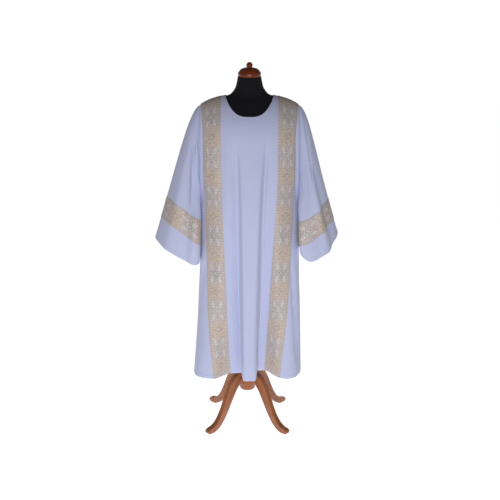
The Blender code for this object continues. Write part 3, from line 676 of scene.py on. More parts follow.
def sleeve(side, armhole, places):
    """A sleeve's grid: ring 0 is the armhole, the last ring the cuff. Each thread of it is one
    soft curve, and two of its rings are the band's edges."""
    mirror = np.array([-1 if side == "left" else 1, 1, 1])
    start, end = armhole * mirror, cuff_at(side, places)
    turn = places[:, None] * 2 * math.pi
    high = (1 + np.cos(turn)) / 2
    leave = unit(mix(SLEEVE_START_LOW, SLEEVE_START_TOP, high) - START_BOW * np.sin(turn) * (0, 1, 0))
    arrive = unit(mix(SLEEVE_END_LOW, SLEEVE_END_TOP, high))
    length = np.linalg.norm(end - start, axis=1, keepdims=True)
    handles = start + leave * HANDLE_START * length, end - arrive * HANDLE_END * length
    threads = bezier(start, *handles, end, np.linspace(0, 1, THREAD_POINTS)[:, None, None])
    grid, shares = [], []
    plane = SLEEVE_BANDS[side]
    band_rise = BAND_WIDTH * math.sqrt(1 + plane.rise_out**2 + plane.rise_back**2)
    for thread in threads.transpose(1, 0, 2):
        distance = along(thread)
        out, back = thread[:, 0] - BAND_PLANE_X, thread[:, 1] - BAND_PLANE_Y
        above = thread[:, 2] - plane.height - plane.rise_out * out - plane.rise_back * back
        band_high, band_low = np.interp((-band_rise, 0.0), -above, distance)
        at = sleeve_rings(band_high, band_low, distance[-1])
        shares.append(np.interp(at, [0, band_high, band_low, distance[-1]], CAD_RINGS))
        grid.append(lookup(at, distance, thread))
    grid = np.array(grid).transpose(1, 0, 2)
    share = np.array(shares).T / CAD_RINGS[-1]
    return sleeve_folds(side, grid, places, share) * mirror


def sleeve_folds(side, grid, places, share):
    """Moves the sleeve's points in and out, level, by its folds and its finer creases."""
    round_sleeve = np.roll(grid, -1, axis=1) - np.roll(grid, 1, axis=1)
    outward = unit(np.stack([-round_sleeve[..., 1], round_sleeve[..., 0], 0 * share], axis=-1))
    centre = grid.mean(axis=1, keepdims=True)
    outward *= np.sign(((grid - centre) * outward).sum(axis=-1, keepdims=True))
    push = np.zeros(grid.shape[:2])

    def away(middle):
        """How far round the sleeve each point is from a place, which 1 brings back to itself."""
        return np.abs((places - middle + 0.5) % 1.0 - 0.5)

    for fold in SLEEVE_FOLDS[side]:
        across = away(mix(fold.at_top, fold.at_cuff, share)) / fold.half_width
        grown = smoothstep((share - fold.start) / SLEEVE_FOLD_SPREAD)
        push += fold.depth * grown * (1 - smoothstep(across))
    down = line_distance(grid, 0)
    down = down / down[-1]
    for crease in SLEEVE_CREASES[side]:
        reach = (down - crease.share_from) / (crease.share_to - crease.share_from)
        middle = mix(crease.at_from, crease.at_to, np.clip(reach, 0, 1) ** crease.curve)
        push += crease.depth * faded(reach, crease.fade) * groove(away(middle), 0, crease.half_width)
    in_front = smoothstep(-outward[..., 1] / FRONT_FADE)
    push += in_front * crease_push(grid, SLEEVE_FRONT_CREASES[side])
    push *= smoothstep(down / SEAM_SHARE)
    return grid + outward * push[..., None]


# ---------------------------------------------------------------- normals and seams
def grid_normals(grid, closed, flip):
    """The surface's direction at each point: the sum of its cells' areas as vectors. A closed
    grid's columns run round."""
    ring = joined(grid, 1) if closed else grid
    areas = np.cross(ring[1:, 1:] - ring[:-1, :-1], ring[:-1, 1:] - ring[1:, :-1])
    total = np.zeros_like(ring)
    for rows, columns in ((0, 0), (0, 1), (1, 0), (1, 1)):
        total[rows : rows + areas.shape[0], columns : columns + areas.shape[1]] += areas
    if closed:
        total[:, 0] += total[:, -1]
        total = total[:, :-1]
    return unit(-total if flip else total)


def share_seam_normals(surfaces):
    """Pieces that meet at a seam point get one direction there, so that their edges face. Pieces
    that share a direction already count as one."""
    meeting = {}
    rounded = [np.round(grid.reshape(-1, 3), SAME_PLACE_DIGITS) for grid, _ in surfaces]
    keys = [list(map(tuple, points)) for points in rounded]
    for points, (_, normals) in zip(keys, surfaces):
        for point, normal in zip(points, np.round(normals.reshape(-1, 3), SAME_PLACE_DIGITS)):
            meeting.setdefault(point, set()).add(tuple(normal))
    for points, (_, normals) in zip(keys, surfaces):
        total = [np.sum(sorted(meeting[point]), axis=0) for point in points]
        normals[:] = unit(np.array(total)).reshape(normals.shape)


def parted(grid, normals, edges):
    """The grid with the named edges drawn back by half a seam's gap."""
    moved = grid.copy()
    line = {
        "top": (np.s_[0, :], np.s_[1, :]),
        "left": (np.s_[:, 0], np.s_[:, 1]),
        "right": (np.s_[:, -1], np.s_[:, -2]),
    }
    for edge, span in edges:
        at, inner = line[edge]
        points, directions = grid[at][span], normals[at][span]
        seam = unit(np.gradient(points, axis=0))
        inward = grid[inner][span] - points
        inward -= (inward * directions).sum(-1, keepdims=True) * directions
        inward -= (inward * seam).sum(-1, keepdims=True) * seam
        moved[at][span] += unit(inward) * SEAM / 2
    return moved


# ---------------------------------------------------------------- meshes
def placed(name, data):
    obj = bpy.data.objects.new(name, data)
    bpy.context.scene.collection.objects.link(obj)
    return obj


def mesh_of(name, points, faces):
    mesh = bpy.data.meshes.new(name)
    mesh.from_pydata(np.reshape(points, (-1, 3)).tolist(), [], faces)
    return mesh


def dressed(mesh, uv, finish, sharp_deg=SHARP_DEG):
    mesh.shade_smooth()
    mesh.set_sharp_from_angle(angle=math.radians(sharp_deg))
    if uv is not None:
        layer = mesh.uv_layers.new(name="cut")
        layer.uv.foreach_set("vector", uv.astype(np.float32).ravel())
    mesh.materials.append(finish)
    return placed(mesh.name, mesh)


def cells(rows, columns):
    """The corners of a grid's cells, as row and column numbers."""
    i, j = (a.reshape(-1, 1) for a in np.meshgrid(np.arange(rows), np.arange(columns), indexing="ij"))
    return i + (0, 1, 1, 0), j + (0, 0, 1, 1)


def shell(name, outer, inner, flat, closed, flip, finish):
    """A thin closed shell between two grids, with rounded lips at its first and last rows. flat
    is each point's place on the cut, in metres, with one more column if the grid is closed."""
    rows, columns = outer.shape[:2]
    half = np.linalg.norm(outer - inner, axis=-1, keepdims=True) / 2
    lip_high = (outer[0] + inner[0]) / 2 + unit(outer[0] - outer[1]) * half[0]
    lip_low = (outer[-1] + inner[-1]) / 2 + unit(outer[-1] - outer[-2]) * half[-1]
    ring = np.concatenate([lip_high[None], outer, lip_low[None], inner[::-1]])
    on_cut = np.concatenate([flat[:1], flat, flat[-1:], flat[::-1]])
    i, j = cells(len(ring), columns if closed else columns - 1)
    i = i % len(ring)
    faces, uv = i * columns + j % columns, on_cut[i, j]
    if flip:
        faces, uv = faces[:, ::-1], uv[:, ::-1]
    faces, uv = faces.tolist(), list(uv.reshape(-1, 2))
    if not closed:
        for column, swapped in ((0, flip), (columns - 1, not flip)):
            for face in rim_faces(rows, swapped):
                faces.append([row * columns + column for row in face])
                uv.extend(on_cut[row, column] for row in face)
    return dressed(mesh_of(name, ring, faces), np.array(uv), finish)


def rim_faces(rows, swapped):
    """The rows of each face that closes a shell's side between its outer and its inner grid."""
    made = [(0, 2 * rows + 1, 1), (rows, rows + 2, rows + 1)]
    for row in range(1, rows):
        back = 2 * rows + 2 - row
        made.append((row, back, back - 1, row + 1))
    return [face[::-1] for face in made] if swapped else made


def capped(name, rings, flat, ends, finish):
    """A closed skin over rings of points, with a flat face at each end. flat and ends are the
    points' places on the material, flat with one more column."""
    rows, columns = rings.shape[:2]
    i, j = (np.roll(corners[:, ::-1], 1, axis=1) for corners in cells(rows - 1, columns))
    first = np.arange(columns)
    faces = (i * columns + j % columns).tolist() + [first[::-1].tolist()]
    faces.append((first + (rows - 1) * columns).tolist())
    uv = np.vstack([flat[i, j].reshape(-1, 2), ends[0][::-1], ends[1]])
    return dressed(mesh_of(name, rings, faces), uv, finish)


def stitches(name, lines, finish):
    """Short raised threads along lines, each given as points and the surface's directions."""
    made = []
    for line, directions in lines:
        distance = along(line)
        at = np.arange(STITCH_PITCH / 2, distance[-1], STITCH_PITCH)
        ahead, behind = (lookup(at + by, distance, line) for by in (STITCH_LONG / 2, -STITCH_LONG / 2))
        heading, normal = unit(ahead - behind), unit(lookup(at, distance, directions))
        middle = lookup(at, distance, line) + normal * STITCH_LIFT
        long, high = heading * STITCH_LONG / 2, normal * STITCH_HIGH
        wide = np.cross(normal, heading) * STITCH_WIDE / 2
        made.append(np.stack([middle + by for by in (-long, wide, long, -wide, high, -high)], axis=1))
    points = np.concatenate(made)
    count, corners = points.shape[:2]
    faces = np.arange(count)[:, None, None] * corners + STITCH_FACES
    return dressed(mesh_of(name, points, faces.reshape(-1, 3).tolist()), None, finish, sharp_deg=SMOOTH_DEG)


# ---------------------------------------------------------------- the dalmatic
def relief(seam, ditch, doubled):
    """How far the cloth's outside moves out, and how much thicker its turned hems are."""
    return HEM_SWELL * doubled - SEAM_DEPTH * seam - DITCH_DEPTH * ditch, TURNED * doubled


def panel_relief(grid, neck):
    """A panel's seams, and the turned hems of its neckline and its low edge."""
    from_top, to_hem = edge_distances(grid, 0)
    seam = np.maximum(*(groove(distance, 0, SEAM_HALF) for distance in edge_distances(grid, 1)))
    seam = np.maximum(seam, SHOULDER_SHARE * groove(from_top, 0, SEAM_HALF) * ~neck)
    ditch = groove(to_hem, HEM_FOLD, DITCH_HALF) + groove(from_top, NECK_FOLD, DITCH_HALF) * neck
    doubled = smoothstep((HEM_FOLD - to_hem) / TURN_SOFT)
    return relief(seam, ditch, doubled + smoothstep((NECK_FOLD - from_top) / TURN_SOFT) * neck)


def sleeve_relief(grid, places):
    """A sleeve's seams, round the armhole and along its underside, and its turned cuff."""
    from_top, to_cuff = edge_distances(grid, 0)
    low = int(np.argmin(np.abs(places - 0.5)))
    from_low = np.linalg.norm(grid - grid[:, low : low + 1], axis=-1)
    seam = np.maximum(groove(from_top, 0, SEAM_HALF), groove(from_low, 0, SEAM_HALF))
    ditch = groove(to_cuff, HEM_FOLD, DITCH_HALF)
    return relief(seam, ditch, smoothstep((HEM_FOLD - to_cuff) / TURN_SOFT))


def cut_places(grid, closed):
    """Each point's place on the flat cut: down from the top, and across from the middle of an
    open grid, or round a closed one from its first column, with one more to close it."""
    if closed:
        grid = joined(grid, 1)
    across = line_distance(grid, 1)
    middle = 0 if closed else grid.shape[1] // 2
    return np.stack([across - across[:, middle : middle + 1], line_distance(grid, 0)], axis=-1)


def make_surfaces():
    """The grids of the four pieces of cloth, with their folds and creases, and their normals."""
    grids = {face: creased(face, panel(face)) for face in FACES}
    around = {}
    for side in SIDES:
        loop, around[side] = armhole_loop(grids["front"], grids["back"], side)
        grids[side] = sleeve(side, loop, around[side])
    normals = {key: grid_normals(grids[key], key in around, FLIPS[key]) for key in grids}
    for keys in (FACES, grids):
        share_seam_normals([(grids[key], normals[key]) for key in keys])
    return {key: grid + (AXIS_X, 0, 0) for key, grid in grids.items()}, normals, around


def stitch_line(grid):
    """The line of a band's stitching, near its grid's first column."""
    shares, share = band_shares(), BAND_STITCH_IN / BAND_WIDTH
    k = int(np.searchsorted(shares, share))
    return mix(grid[:, k - 1], grid[:, k], (share - shares[k - 1]) / (shares[k] - shares[k - 1]))


def make_band(prefix, side, middle, out, closed, flip, finish, thread):
    """A band and its stitching. middle is the cloth's grid under it, its rows along the band and
    its columns across, and out the cloth's directions. A closed band goes round a sleeve."""
    from_edge = np.minimum(band_shares(), 1 - band_shares()) * BAND_WIDTH
    thin = BAND_ROUND * np.exp(-from_edge / BAND_STITCH_IN * BAND_ROUND_RATE)
    thickness = GALLOON - thin - BAND_DITCH * groove(from_edge, BAND_STITCH_IN, BAND_STITCH_IN / 2)
    over, under = middle + out * (SEAM + thickness[:, None]), middle + out * SEAM
    centre = middle[:, middle.shape[1] // 2]
    length = along(joined(centre) if closed else centre)
    flat = np.stack(np.broadcast_arrays(band_shares() * BAND_WIDTH, length[:, None]), axis=-1)
    top = middle + out * (SEAM + GALLOON - BAND_DITCH)
    lines = [(stitch_line(top), out[:, 0]), (stitch_line(top[:, ::-1]), out[:, -1])]
    if closed:
        over, under, flat = (np.swapaxes(grid, 0, 1) for grid in (over, under, flat))
        lines = [(joined(line), joined(directions)) for line, directions in lines]
    name = f"{prefix}_stitching_{side}"
    galloon = shell(f"{prefix}_{side}_galloon", over, under, flat, closed, flip, finish)
    return {f"{prefix}_{side}": galloon, name: stitches(name, lines, thread)}


def make_dalmatic(cloth, galloon, sleeve_galloon, thread, gold_thread):
    grids, normals, around = make_surfaces()
    columns = grids["front"].shape[1]
    band, side_cells = CELLS[1:]
    shoulder = band + side_cells + 1
    on_neck = np.arange(shoulder, columns - shoulder)
    neck = np.isin(np.arange(columns), on_neck)[None]
    armhole = (("top", np.s_[:]),)
    edges = (("top", np.s_[: shoulder + 1]), ("top", np.s_[columns - shoulder - 1 :]))
    edges += (("left", np.s_[:]), ("right", np.s_[:]))
    made, hems, necklines = {}, [], []

    def sew(name, key, relief_of, detail, parts):
        """A piece of cloth. Returns its sewn surface and its directions."""
        grid, out = grids[key], normals[key]
        push, turned_in = relief_of(grid, detail)
        sewn = grid + out * push[..., None]
        outer = parted(sewn, out, parts)
        inner = outer - out * (CLOTH + turned_in)[..., None]
        closed = key in around
        made[name] = shell(f"{name}_cloth", outer, inner, cut_places(grid, closed), closed, FLIPS[key], cloth)
        return sewn, out

    for face in FACES:
        sewn, out = sew(f"{face}_panel", face, panel_relief, neck, edges)
        hems.append((sewn[STITCH_ROW], out[STITCH_ROW]))
        reach = line_distance(grids[face], 0)
        line = [lookup([NECK_FOLD], reach[:, j], sewn[:, j])[0] for j in on_neck]
        necklines.append((np.array(line), out[NECK_ROW, on_neck]))
    for side in SIDES:
        sewn, out = sew(f"sleeve_{side}", side, sleeve_relief, around[side], armhole)
        name = f"cuff_stitching_{side}"
        made[name] = stitches(name, [(joined(sewn[STITCH_ROW]), joined(out[STITCH_ROW]))], thread)
    for name, lines in (("hem_stitching", hems), ("neck_stitching", necklines)):
        made[name] = stitches(name, lines, thread)

    for side, first in (("left", side_cells), ("right", columns - 1 - side_cells - band)):
        # Up the front, over the shoulder and down the back.
        strip = np.s_[:, first : first + band + 1]
        both = [np.vstack([grid["front"][strip][::-1], grid["back"][strip][1:]]) for grid in (grids, normals)]
        made.update(make_band("band", side, *both, False, True, galloon, gold_thread))
        rings = np.s_[RINGS[0] : RINGS[0] + band + 1]
        both = [np.swapaxes(grid[side][rings], 0, 1) for grid in (grids, normals)]
        made.update(make_band("sleeve_band", side, *both, True, FLIPS[side], sleeve_galloon, gold_thread))
    return made


# ---------------------------------------------------------------- the dress form and its stand
FormRing = namedtuple("FormRing", "height half_width front back power lean_deg")
FORM = table(
    FormRing,
    (0.870, 0.1480, 0.1000, 0.0980, 2.3, 0),
    (0.960, 0.1660, 0.1100, 0.1080, 2.3, 0),
    (1.080, 0.1600, 0.1060, 0.0920, 2.3, 0),
    (1.200, 0.1720, 0.1180, 0.0980, 2.4, 0),
    (1.320, 0.1860, 0.1280, 0.1080, 2.4, 0),
    (1.400, 0.1960, 0.1130, 0.1020, 2.3, 0),
    (1.450, 0.2020, 0.0910, 0.0880, 2.2, 0),
    (1.478, 0.2030, 0.0770, 0.0740, 2.1, 0),
    (1.495, 0.1960, 0.0690, 0.0650, 2.0, 0),
    (1.508, 0.1840, 0.0610, 0.0580, 2.0, 0),
    (1.517, 0.1735, 0.0540, 0.0520, 1.7, 0),
    (1.5242, 0.1600, 0.0480, 0.0470, 1.5, 0),
    (1.5312, 0.1350, 0.0460, 0.0460, 1.4, 0),
    (1.5352, 0.1100, 0.0460, 0.0460, 1.6, 0),
    (1.543, 0.0870, 0.0490, 0.0490, 1.9, 1),
    (1.558, 0.0720, 0.0530, 0.0530, 2.0, 3),
    (1.575, 0.0620, 0.0540, 0.0550, 2.0, 6),
    (1.600, 0.0560, 0.0550, 0.0570, 2.0, 9),
    (1.619, 0.0525, 0.0525, 0.0525, 2.0, 9),
)
FORM_STEPS = 5  # rings between two of the table's
FORM_SIDES = 96
FORM_SHRINK = 0.0006  # the finer skin stays inside the cloth

CAP_LEAN_DEG = 9
CAP_BASE_Z = 1.6193
CapPoint = namedtuple("CapPoint", "radius height")
CAP_PROFILE = table(
    CapPoint,
    (0.0490, 0.0000),
    (0.0508, 0.0040),
    (0.0513, 0.0110),
    (0.0495, 0.0175),
    (0.0465, 0.0205),
    (0.0430, 0.0260),
    (0.0330, 0.0330),
    (0.0210, 0.0365),
    (0.0125, 0.0385),
    (0.0118, 0.0410),
    (0.0142, 0.0450),
    (0.0145, 0.0490),
    (0.0118, 0.0550),
    (0.0070, 0.0600),
    (0.0000, 0.0620),
)
TURNED_SIDES = 72
CAP_FINE = 4  # steps between two of the cap's points
STAND_X, STAND_Y = -0.010, -0.018
POLE_RADIUS, POLE_ROUND = 0.0125, 0.0012
HUB_LOW, HUB_HIGH, HUB_SHOULDER = 0.150, 0.275, 0.2575
HUB_RADIUS, HUB_COLLAR, HUB_END = 0.036, 0.031, 0.025
HUB_ROUND, HUB_ROUND_STEPS = 0.008, 7
LEG_AZIMUTHS_DEG = (45, 135, 225, 315)
LEG_THICK = 0.026
LEG_PATH = ((0.0367, 0.215), (0.122, 0.245), (0.138, 0.020), (0.2435, 0.0125))
LEG_HALF_HEIGHT = ((0.0, 0.030), (0.35, 0.0235), (0.70, 0.0170), (1.0, 0.0150))
LEG_STEPS, TOE_STEPS = 48, 19
TOE_REACH = 1.5
LEG_ROUND, LEG_ROUND_STEPS = 0.0032, 4  # the rounding along the leg's edges


def make_torso(finish):
    """The torso's covered skin, with rings between the table's."""
    heights = [ring.height for ring in FORM]
    places = np.interp(np.arange((len(FORM) - 1) * FORM_STEPS + 1) / FORM_STEPS, range(len(FORM)), heights)
    places = places[:, None]
    angle = np.arange(FORM_SIDES) * 2 * math.pi / FORM_SIDES
    sin, cos = np.sin(angle), np.cos(angle)
    half, front, back, power, lean = (sized(FORM, field, places) for field in FormRing._fields[1:])
    x = (half - FORM_SHRINK) * np.sign(sin) * np.abs(sin) ** (2 / power)
    y = (FORM_SHRINK - np.where(cos > 0, front, back)) * np.sign(cos) * np.abs(cos) ** (2 / power)
    grid = np.stack([x, y, places + y * np.tan(np.radians(lean))], axis=-1)
    flat, ends = cut_places(grid, True), (grid[0, :, :2], grid[-1, :, :2])
    return capped("form_torso_cover", grid + (AXIS_X, 0, 0), flat, ends, finish)


def turned(name, profile, finish, centre, lean_deg=0.0):
    """A turned piece: the profile, as radius and height from the bottom up, spun about its axis."""
    made = bmesh.new()
    line = [made.verts.new((radius, 0, height)) for radius, height in profile]
    edges = [made.edges.new(pair) for pair in zip(line, line[1:])]
    turn = {"cent": (0, 0, 0), "axis": (0, 0, 1), "angle": 2 * math.pi, "steps": TURNED_SIDES}
    bmesh.ops.spin(made, geom=line + edges, use_merge=True, **turn)
    bmesh.ops.remove_doubles(made, verts=made.verts, dist=SAME_PLACE)
    bmesh.ops.holes_fill(made, edges=made.edges)
    bmesh.ops.recalc_face_normals(made, faces=made.faces)
    lean = math.radians(lean_deg)
    for vertex in made.verts:
        x, y, z = vertex.co
        leant = (y * math.cos(lean) - z * math.sin(lean), y * math.sin(lean) + z * math.cos(lean))
        vertex.co = (x + centre[0], leant[0] + centre[1], leant[1] + centre[2])
    mesh = bpy.data.meshes.new(name)
    made.to_mesh(mesh)
    made.free()
    return dressed(mesh, None, finish, sharp_deg=TURNED_SHARP_DEG)


def make_cap(finish):
    """The cap's profile with its curves drawn finer."""
    place = np.arange(len(CAP_PROFILE))
    fine = np.linspace(0, place[-1], (len(place) - 1) * CAP_FINE + 1)
    profile = np.stack([smooth_lookup(place, column, fine) for column in zip(*CAP_PROFILE)], axis=1)
    return turned("form_cap_turned", profile, finish, (AXIS_X, 0, CAP_BASE_Z + SEAM), CAP_LEAN_DEG)


def make_stand(wood, steel):
    """The pole, its ends' edges broken, and the hub, rounded at its foot, shoulder and top."""
    centre = (STAND_X + AXIS_X, STAND_Y, 0)
    low, high = HUB_HIGH + SEAM, FORM[0].height - SEAM
    narrow = POLE_RADIUS - POLE_ROUND
    ends = ((narrow, low), (POLE_RADIUS, low + POLE_ROUND), (POLE_RADIUS, high - POLE_ROUND), (narrow, high))
    pole = turned("form_pole_tube", ends, steel, centre)
    turn = np.linspace(0, math.pi / 2, HUB_ROUND_STEPS)
    sin, cos = np.sin(turn), np.cos(turn)
    foot, shoulder = mix(HUB_END, HUB_RADIUS, sin), mix(HUB_COLLAR, HUB_RADIUS, cos)
    radii = np.concatenate([foot, shoulder, mix(HUB_END, HUB_COLLAR, cos)[1:]])
    top = mix(HUB_SHOULDER + HUB_ROUND, HUB_HIGH, sin)[1:]
    heights = np.concatenate([HUB_LOW + HUB_ROUND * (1 - cos), HUB_SHOULDER + HUB_ROUND * sin, top])
    return pole, turned("base_hub_turned", np.stack([radii, heights], axis=1), wood, centre)


def leg_outline():
    """The leg's side view, as radius and height: along the top, round the toe, back below."""
    share = np.linspace(0, 1, LEG_STEPS + 1)[:, None]
    a, b, c, d = (np.array(p) for p in LEG_PATH)
    middle = bezier(a, b, c, d, share)
    heading = unit(np.gradient(middle, axis=0))
    across = np.stack([-heading[:, 1], heading[:, 0]], axis=1)
    places, sizes = zip(*LEG_HALF_HEIGHT)
    half = smooth_lookup(places, sizes, share[:, 0])[:, None]
    top, below = middle + across * half, middle - across * half
    toe_angles = np.linspace(90, -90, TOE_STEPS + 2)[1:-1]
    turn, size = np.radians(toe_angles), LEG_HALF_HEIGHT[-1][1]
    toe = np.stack([d[0] + TOE_REACH * size * np.cos(turn), d[1] + size * np.sin(turn)], axis=1)
    outline = np.vstack([top, toe, below[::-1]])
    outline[:, 1] = np.maximum(outline[:, 1], 0)
    outline[0, 0] = outline[-1, 0] = LEG_PATH[0][0]
    return outline


def inset(outline, by):
    """The outline drawn in by a distance, and not below the floor."""
    heading = unit(np.roll(outline, -1, axis=0) - np.roll(outline, 1, axis=0))
    drawn = outline + np.stack([heading[:, 1], -heading[:, 0]], axis=1) * by
    drawn[:, 1] = np.maximum(drawn[:, 1], 0)
    return drawn


def make_leg(number, azimuth, finish):
    """A leg sawn from a board, its edges rounded over."""
    outline = leg_outline()
    layers = []
    for a in np.linspace(0, math.pi / 2, LEG_ROUND_STEPS + 1):
        side = LEG_THICK / 2 - LEG_ROUND * (1 - math.cos(a))
        layers.append((inset(outline, LEG_ROUND * (1 - math.sin(a))), side))
    layers = [(drawn, -side) for drawn, side in layers] + layers[::-1]
    turn = math.radians(azimuth)
    points, flat = [], []
    for drawn, side in layers:
        r, z = drawn.T
        x = STAND_X + AXIS_X + r * math.cos(turn) - side * math.sin(turn)
        y = STAND_Y + r * math.sin(turn) + side * math.cos(turn)
        points.append(np.stack([x, y, z], axis=1))
        flat.append(np.stack([r, z + side], axis=1))
    ends = flat[0], flat[-1]
    return capped(f"base_leg_{number}_wood", np.array(points), joined(np.array(flat), 1), ends, finish)


# ---------------------------------------------------------------- finishes
class Nodes:
    """Makes a tree's nodes and links them."""

    def __init__(self, tree):
        self.tree = tree

    def node(self, kind, values, **settings):
        made = self.tree.nodes.new("ShaderNode" + kind)
        for key, value in settings.items():
            setattr(made, key, value)
        for place, value in values.items():
            if isinstance(value, bpy.types.NodeSocket):
                self.tree.links.new(value, made.inputs[place])
            else:
                made.inputs[place].default_value = value
        return made

    def calc(self, operation, *values, clamp=False):
        return self.node("Math", dict(enumerate(values)), operation=operation, use_clamp=clamp).outputs[0]

    def scaled(self, value, gain, offset, clamp=False):
        return self.calc("MULTIPLY_ADD", value, gain, offset, clamp=clamp)

    def times(self, *masks):
        return reduce(partial(self.calc, "MULTIPLY"), masks)

    def squares(self, *values):
        """The sum of the values' squares."""
        return reduce(partial(self.calc, "ADD"), [self.calc("POWER", value, 2.0) for value in values])

    def inside(self, distance, reach, soft):
        """1 where distance is under reach, 0 past it, with a soft edge."""
        return self.scaled(distance, -1 / soft, reach / soft + 0.5, clamp=True)

    def ring(self, distance, at, half):
        return self.inside(self.calc("ABSOLUTE", self.calc("SUBTRACT", distance, at)), half, half)

    def blend(self, share, first, second):
        """From the first colour to the second. The Mix node takes its colours at 6 and 7."""
        return self.node("Mix", {0: share, 6: first, 7: second}, data_type="RGBA").outputs[2]

    def noise(self, vector, scale, detail=2.0, roughness=0.5):
        """Noise of one scale, or of one for each axis."""
        if isinstance(scale, tuple):
            vector, scale = self.node("Mapping", {"Vector": vector, "Scale": scale}).outputs[0], 1.0
        inputs = {"Vector": vector, "Scale": scale, "Detail": detail, "Roughness": roughness}
        return self.node("TexNoise", inputs).outputs[0]

    def contrast(self, noise, gain):
        """A noise spread about its middle, from 0 to 1."""
        return self.scaled(noise, gain, 0.5 - gain / 2, clamp=True)

    def weave(self, u, v, pitch_mm):
        """The height of a plain weave: rounded threads that pass over and under each other."""
        turn = MM_IN_M * math.pi / pitch_mm
        waves = [self.calc("SINE", self.calc("MULTIPLY", at, turn)) for at in (u, v)]
        return self.scaled(self.times(*waves), 0.5, 0.5)


class Finish(Nodes):
    """A material. Fixed numbers are set on the shader's own sockets."""

    def __init__(self, name, **fixed):
        self.made = bpy.data.materials.new(name)
        self.made.use_nodes = True
        super().__init__(self.made.node_tree)
        self.shader = self.tree.nodes["Principled BSDF"]
        for socket, value in fixed.items():
            self.shader.inputs[socket.replace("_", " ")].default_value = value

    def cut(self):
        """The place on the flat cut, in metres, and its two parts."""
        place = self.node("UVMap", {}, uv_map="cut").outputs[0]
        return place, *self.node("SeparateXYZ", {0: place}).outputs[:2]

    def place(self):
        return self.node("TexCoord", {}).outputs["Object"]

    def use(self, socket, value):
        self.tree.links.new(value, self.shader.inputs[socket])

    def bump(self, height, distance, strength=1.0):
        inputs = {"Strength": strength, "Distance": distance, "Height": height}
        self.use("Normal", self.node("Bump", inputs).outputs[0])


def colour(red, green, blue):
    return (red, green, blue, 1.0)


def darker(tint, share):
    return colour(*(share * part for part in tint[:3]))


CLOTH_LIGHT, CLOTH_DEEP = colour(0.480, 0.512, 0.715), colour(0.440, 0.470, 0.668)
MM_IN_M = 1000.0
THREAD_MM, KNIT_MM = 0.55, 1.1
# The noises' scales, in features a metre, one for each axis where they are drawn out, and how
# high the bumps stand, in metres.
WARP_SLUBS, WEFT_SLUBS, CLOTH_SHADES, CLOTH_HIGH = (1500, 28, 1), (24, 1500, 1), 7.0, 0.00012
STREAKS, MOTTLE, TINTS, PATCHES, SHEEN_PATCHES, GALLOON_HIGH = (260, 20, 1), 170.0, 62.0, 21.0, 12.0, 0.0004
TWIST, TWIST_HIGH, LINT, KNIT_HIGH = 900.0, 0.0001, 260.0, 0.0003
SLOW_GRAIN, PORES_FINER, WOOD_HIGH, STEEL_GRAIN = 9.0, 4, 0.00025, (240, 240, 6)
CAP_GRAIN, LEG_GRAIN, HUB_GRAIN = (10.0, 60.0, 260.0), (8.0, 180.0, 1.0), (60.0, 60.0, 6.0)
THREAD_DARKER, PORE_DARKER = 0.82, 0.55
JERSEY_DARK, JERSEY_LINT = colour(0.0045, 0.0040, 0.0055), colour(0.0085, 0.0075, 0.0100)
CAP_TINTS = colour(0.240, 0.044, 0.008), colour(0.080, 0.014, 0.003)
LEG_TINTS = colour(0.400, 0.140, 0.052), colour(0.190, 0.055, 0.020)
STEEL_LIGHT, STEEL_DARK = colour(0.42, 0.42, 0.43), colour(0.30, 0.30, 0.31)

# The galloon's repeat, in millimetres: across from its middle, and along from a lozenge's centre.
REPEAT, DOTS_A_REPEAT = 174.0, 14
GALLOON_START, SLEEVE_GALLOON_START = 34.0, 140.0
DOT_PITCH, DOT_RADIUS = REPEAT / DOTS_A_REPEAT, 2.7
LOZENGE_SLOPE = 0.72
BORDER_FROM, BORDER_TO, SELVAGE = 33.6, 42.6, 44.1
BEAD_ACROSS, BEAD_WIDE, BEAD_LONG = 38.6, 2.8, 3.2
GROUND, GROUND_WARM = colour(0.470, 0.425, 0.435), colour(0.545, 0.460, 0.375)
SILVER, SILVER_DEEP = colour(0.570, 0.555, 0.545), colour(0.430, 0.400, 0.400)
PINK, BROWN = colour(0.355, 0.270, 0.270), colour(0.270, 0.215, 0.210)
SLATE, ROSE = colour(0.110, 0.120, 0.130), colour(0.290, 0.170, 0.185)
SAGE, OCHRE = colour(0.420, 0.430, 0.400), colour(0.570, 0.470, 0.310)
Leaf = namedtuple("Leaf", "across down wide high slant")
LEAF = Leaf(18.0, 28.5, 9.5, 20.0, 0.20)
VEIN_SLOPE, CHEVRON_SLOPE = 1.3, 0.62
VEIN_HALF, CHEVRON_HALF = 0.9, 2.4
CHEVRONS_REACH, CHEVRONS_FADE = 34.0, 14.0  # to both sides of the place half way
# The lozenge's four dots: one over their half width and half height, and their places in those.
FOUR_WIDE, FOUR_HIGH, FOUR_BESIDE, FOUR_ABOVE = 0.38, 0.34, 2.4, 2.95
LOZENGE_GROUND, LOZENGE_RAISED, LOZENGE_HEART, MIDDLE_HEART = 21.0, 19.0, 10.5, 4.2
Ring = namedtuple("Ring", "at half strength tint")
LOZENGE_RINGS = table(Ring, (19.5, 1.3, 0.75, SLATE), (16.0, 1.4, 0.5, SILVER), (12.6, 0.9, 0.5, SLATE))
MIDDLE_RINGS = table(Ring, (14.0, 1.2, 0.5, BROWN), (8.0, 0.9, 0.4, PINK))
BORDER_LINES = table(Ring, (BORDER_FROM + 0.4, 0.8, 0.45, PINK), (BORDER_TO, 0.7, 0.4, PINK))
THREAD_CELL = (0.0011, 0.0008, 1.0)


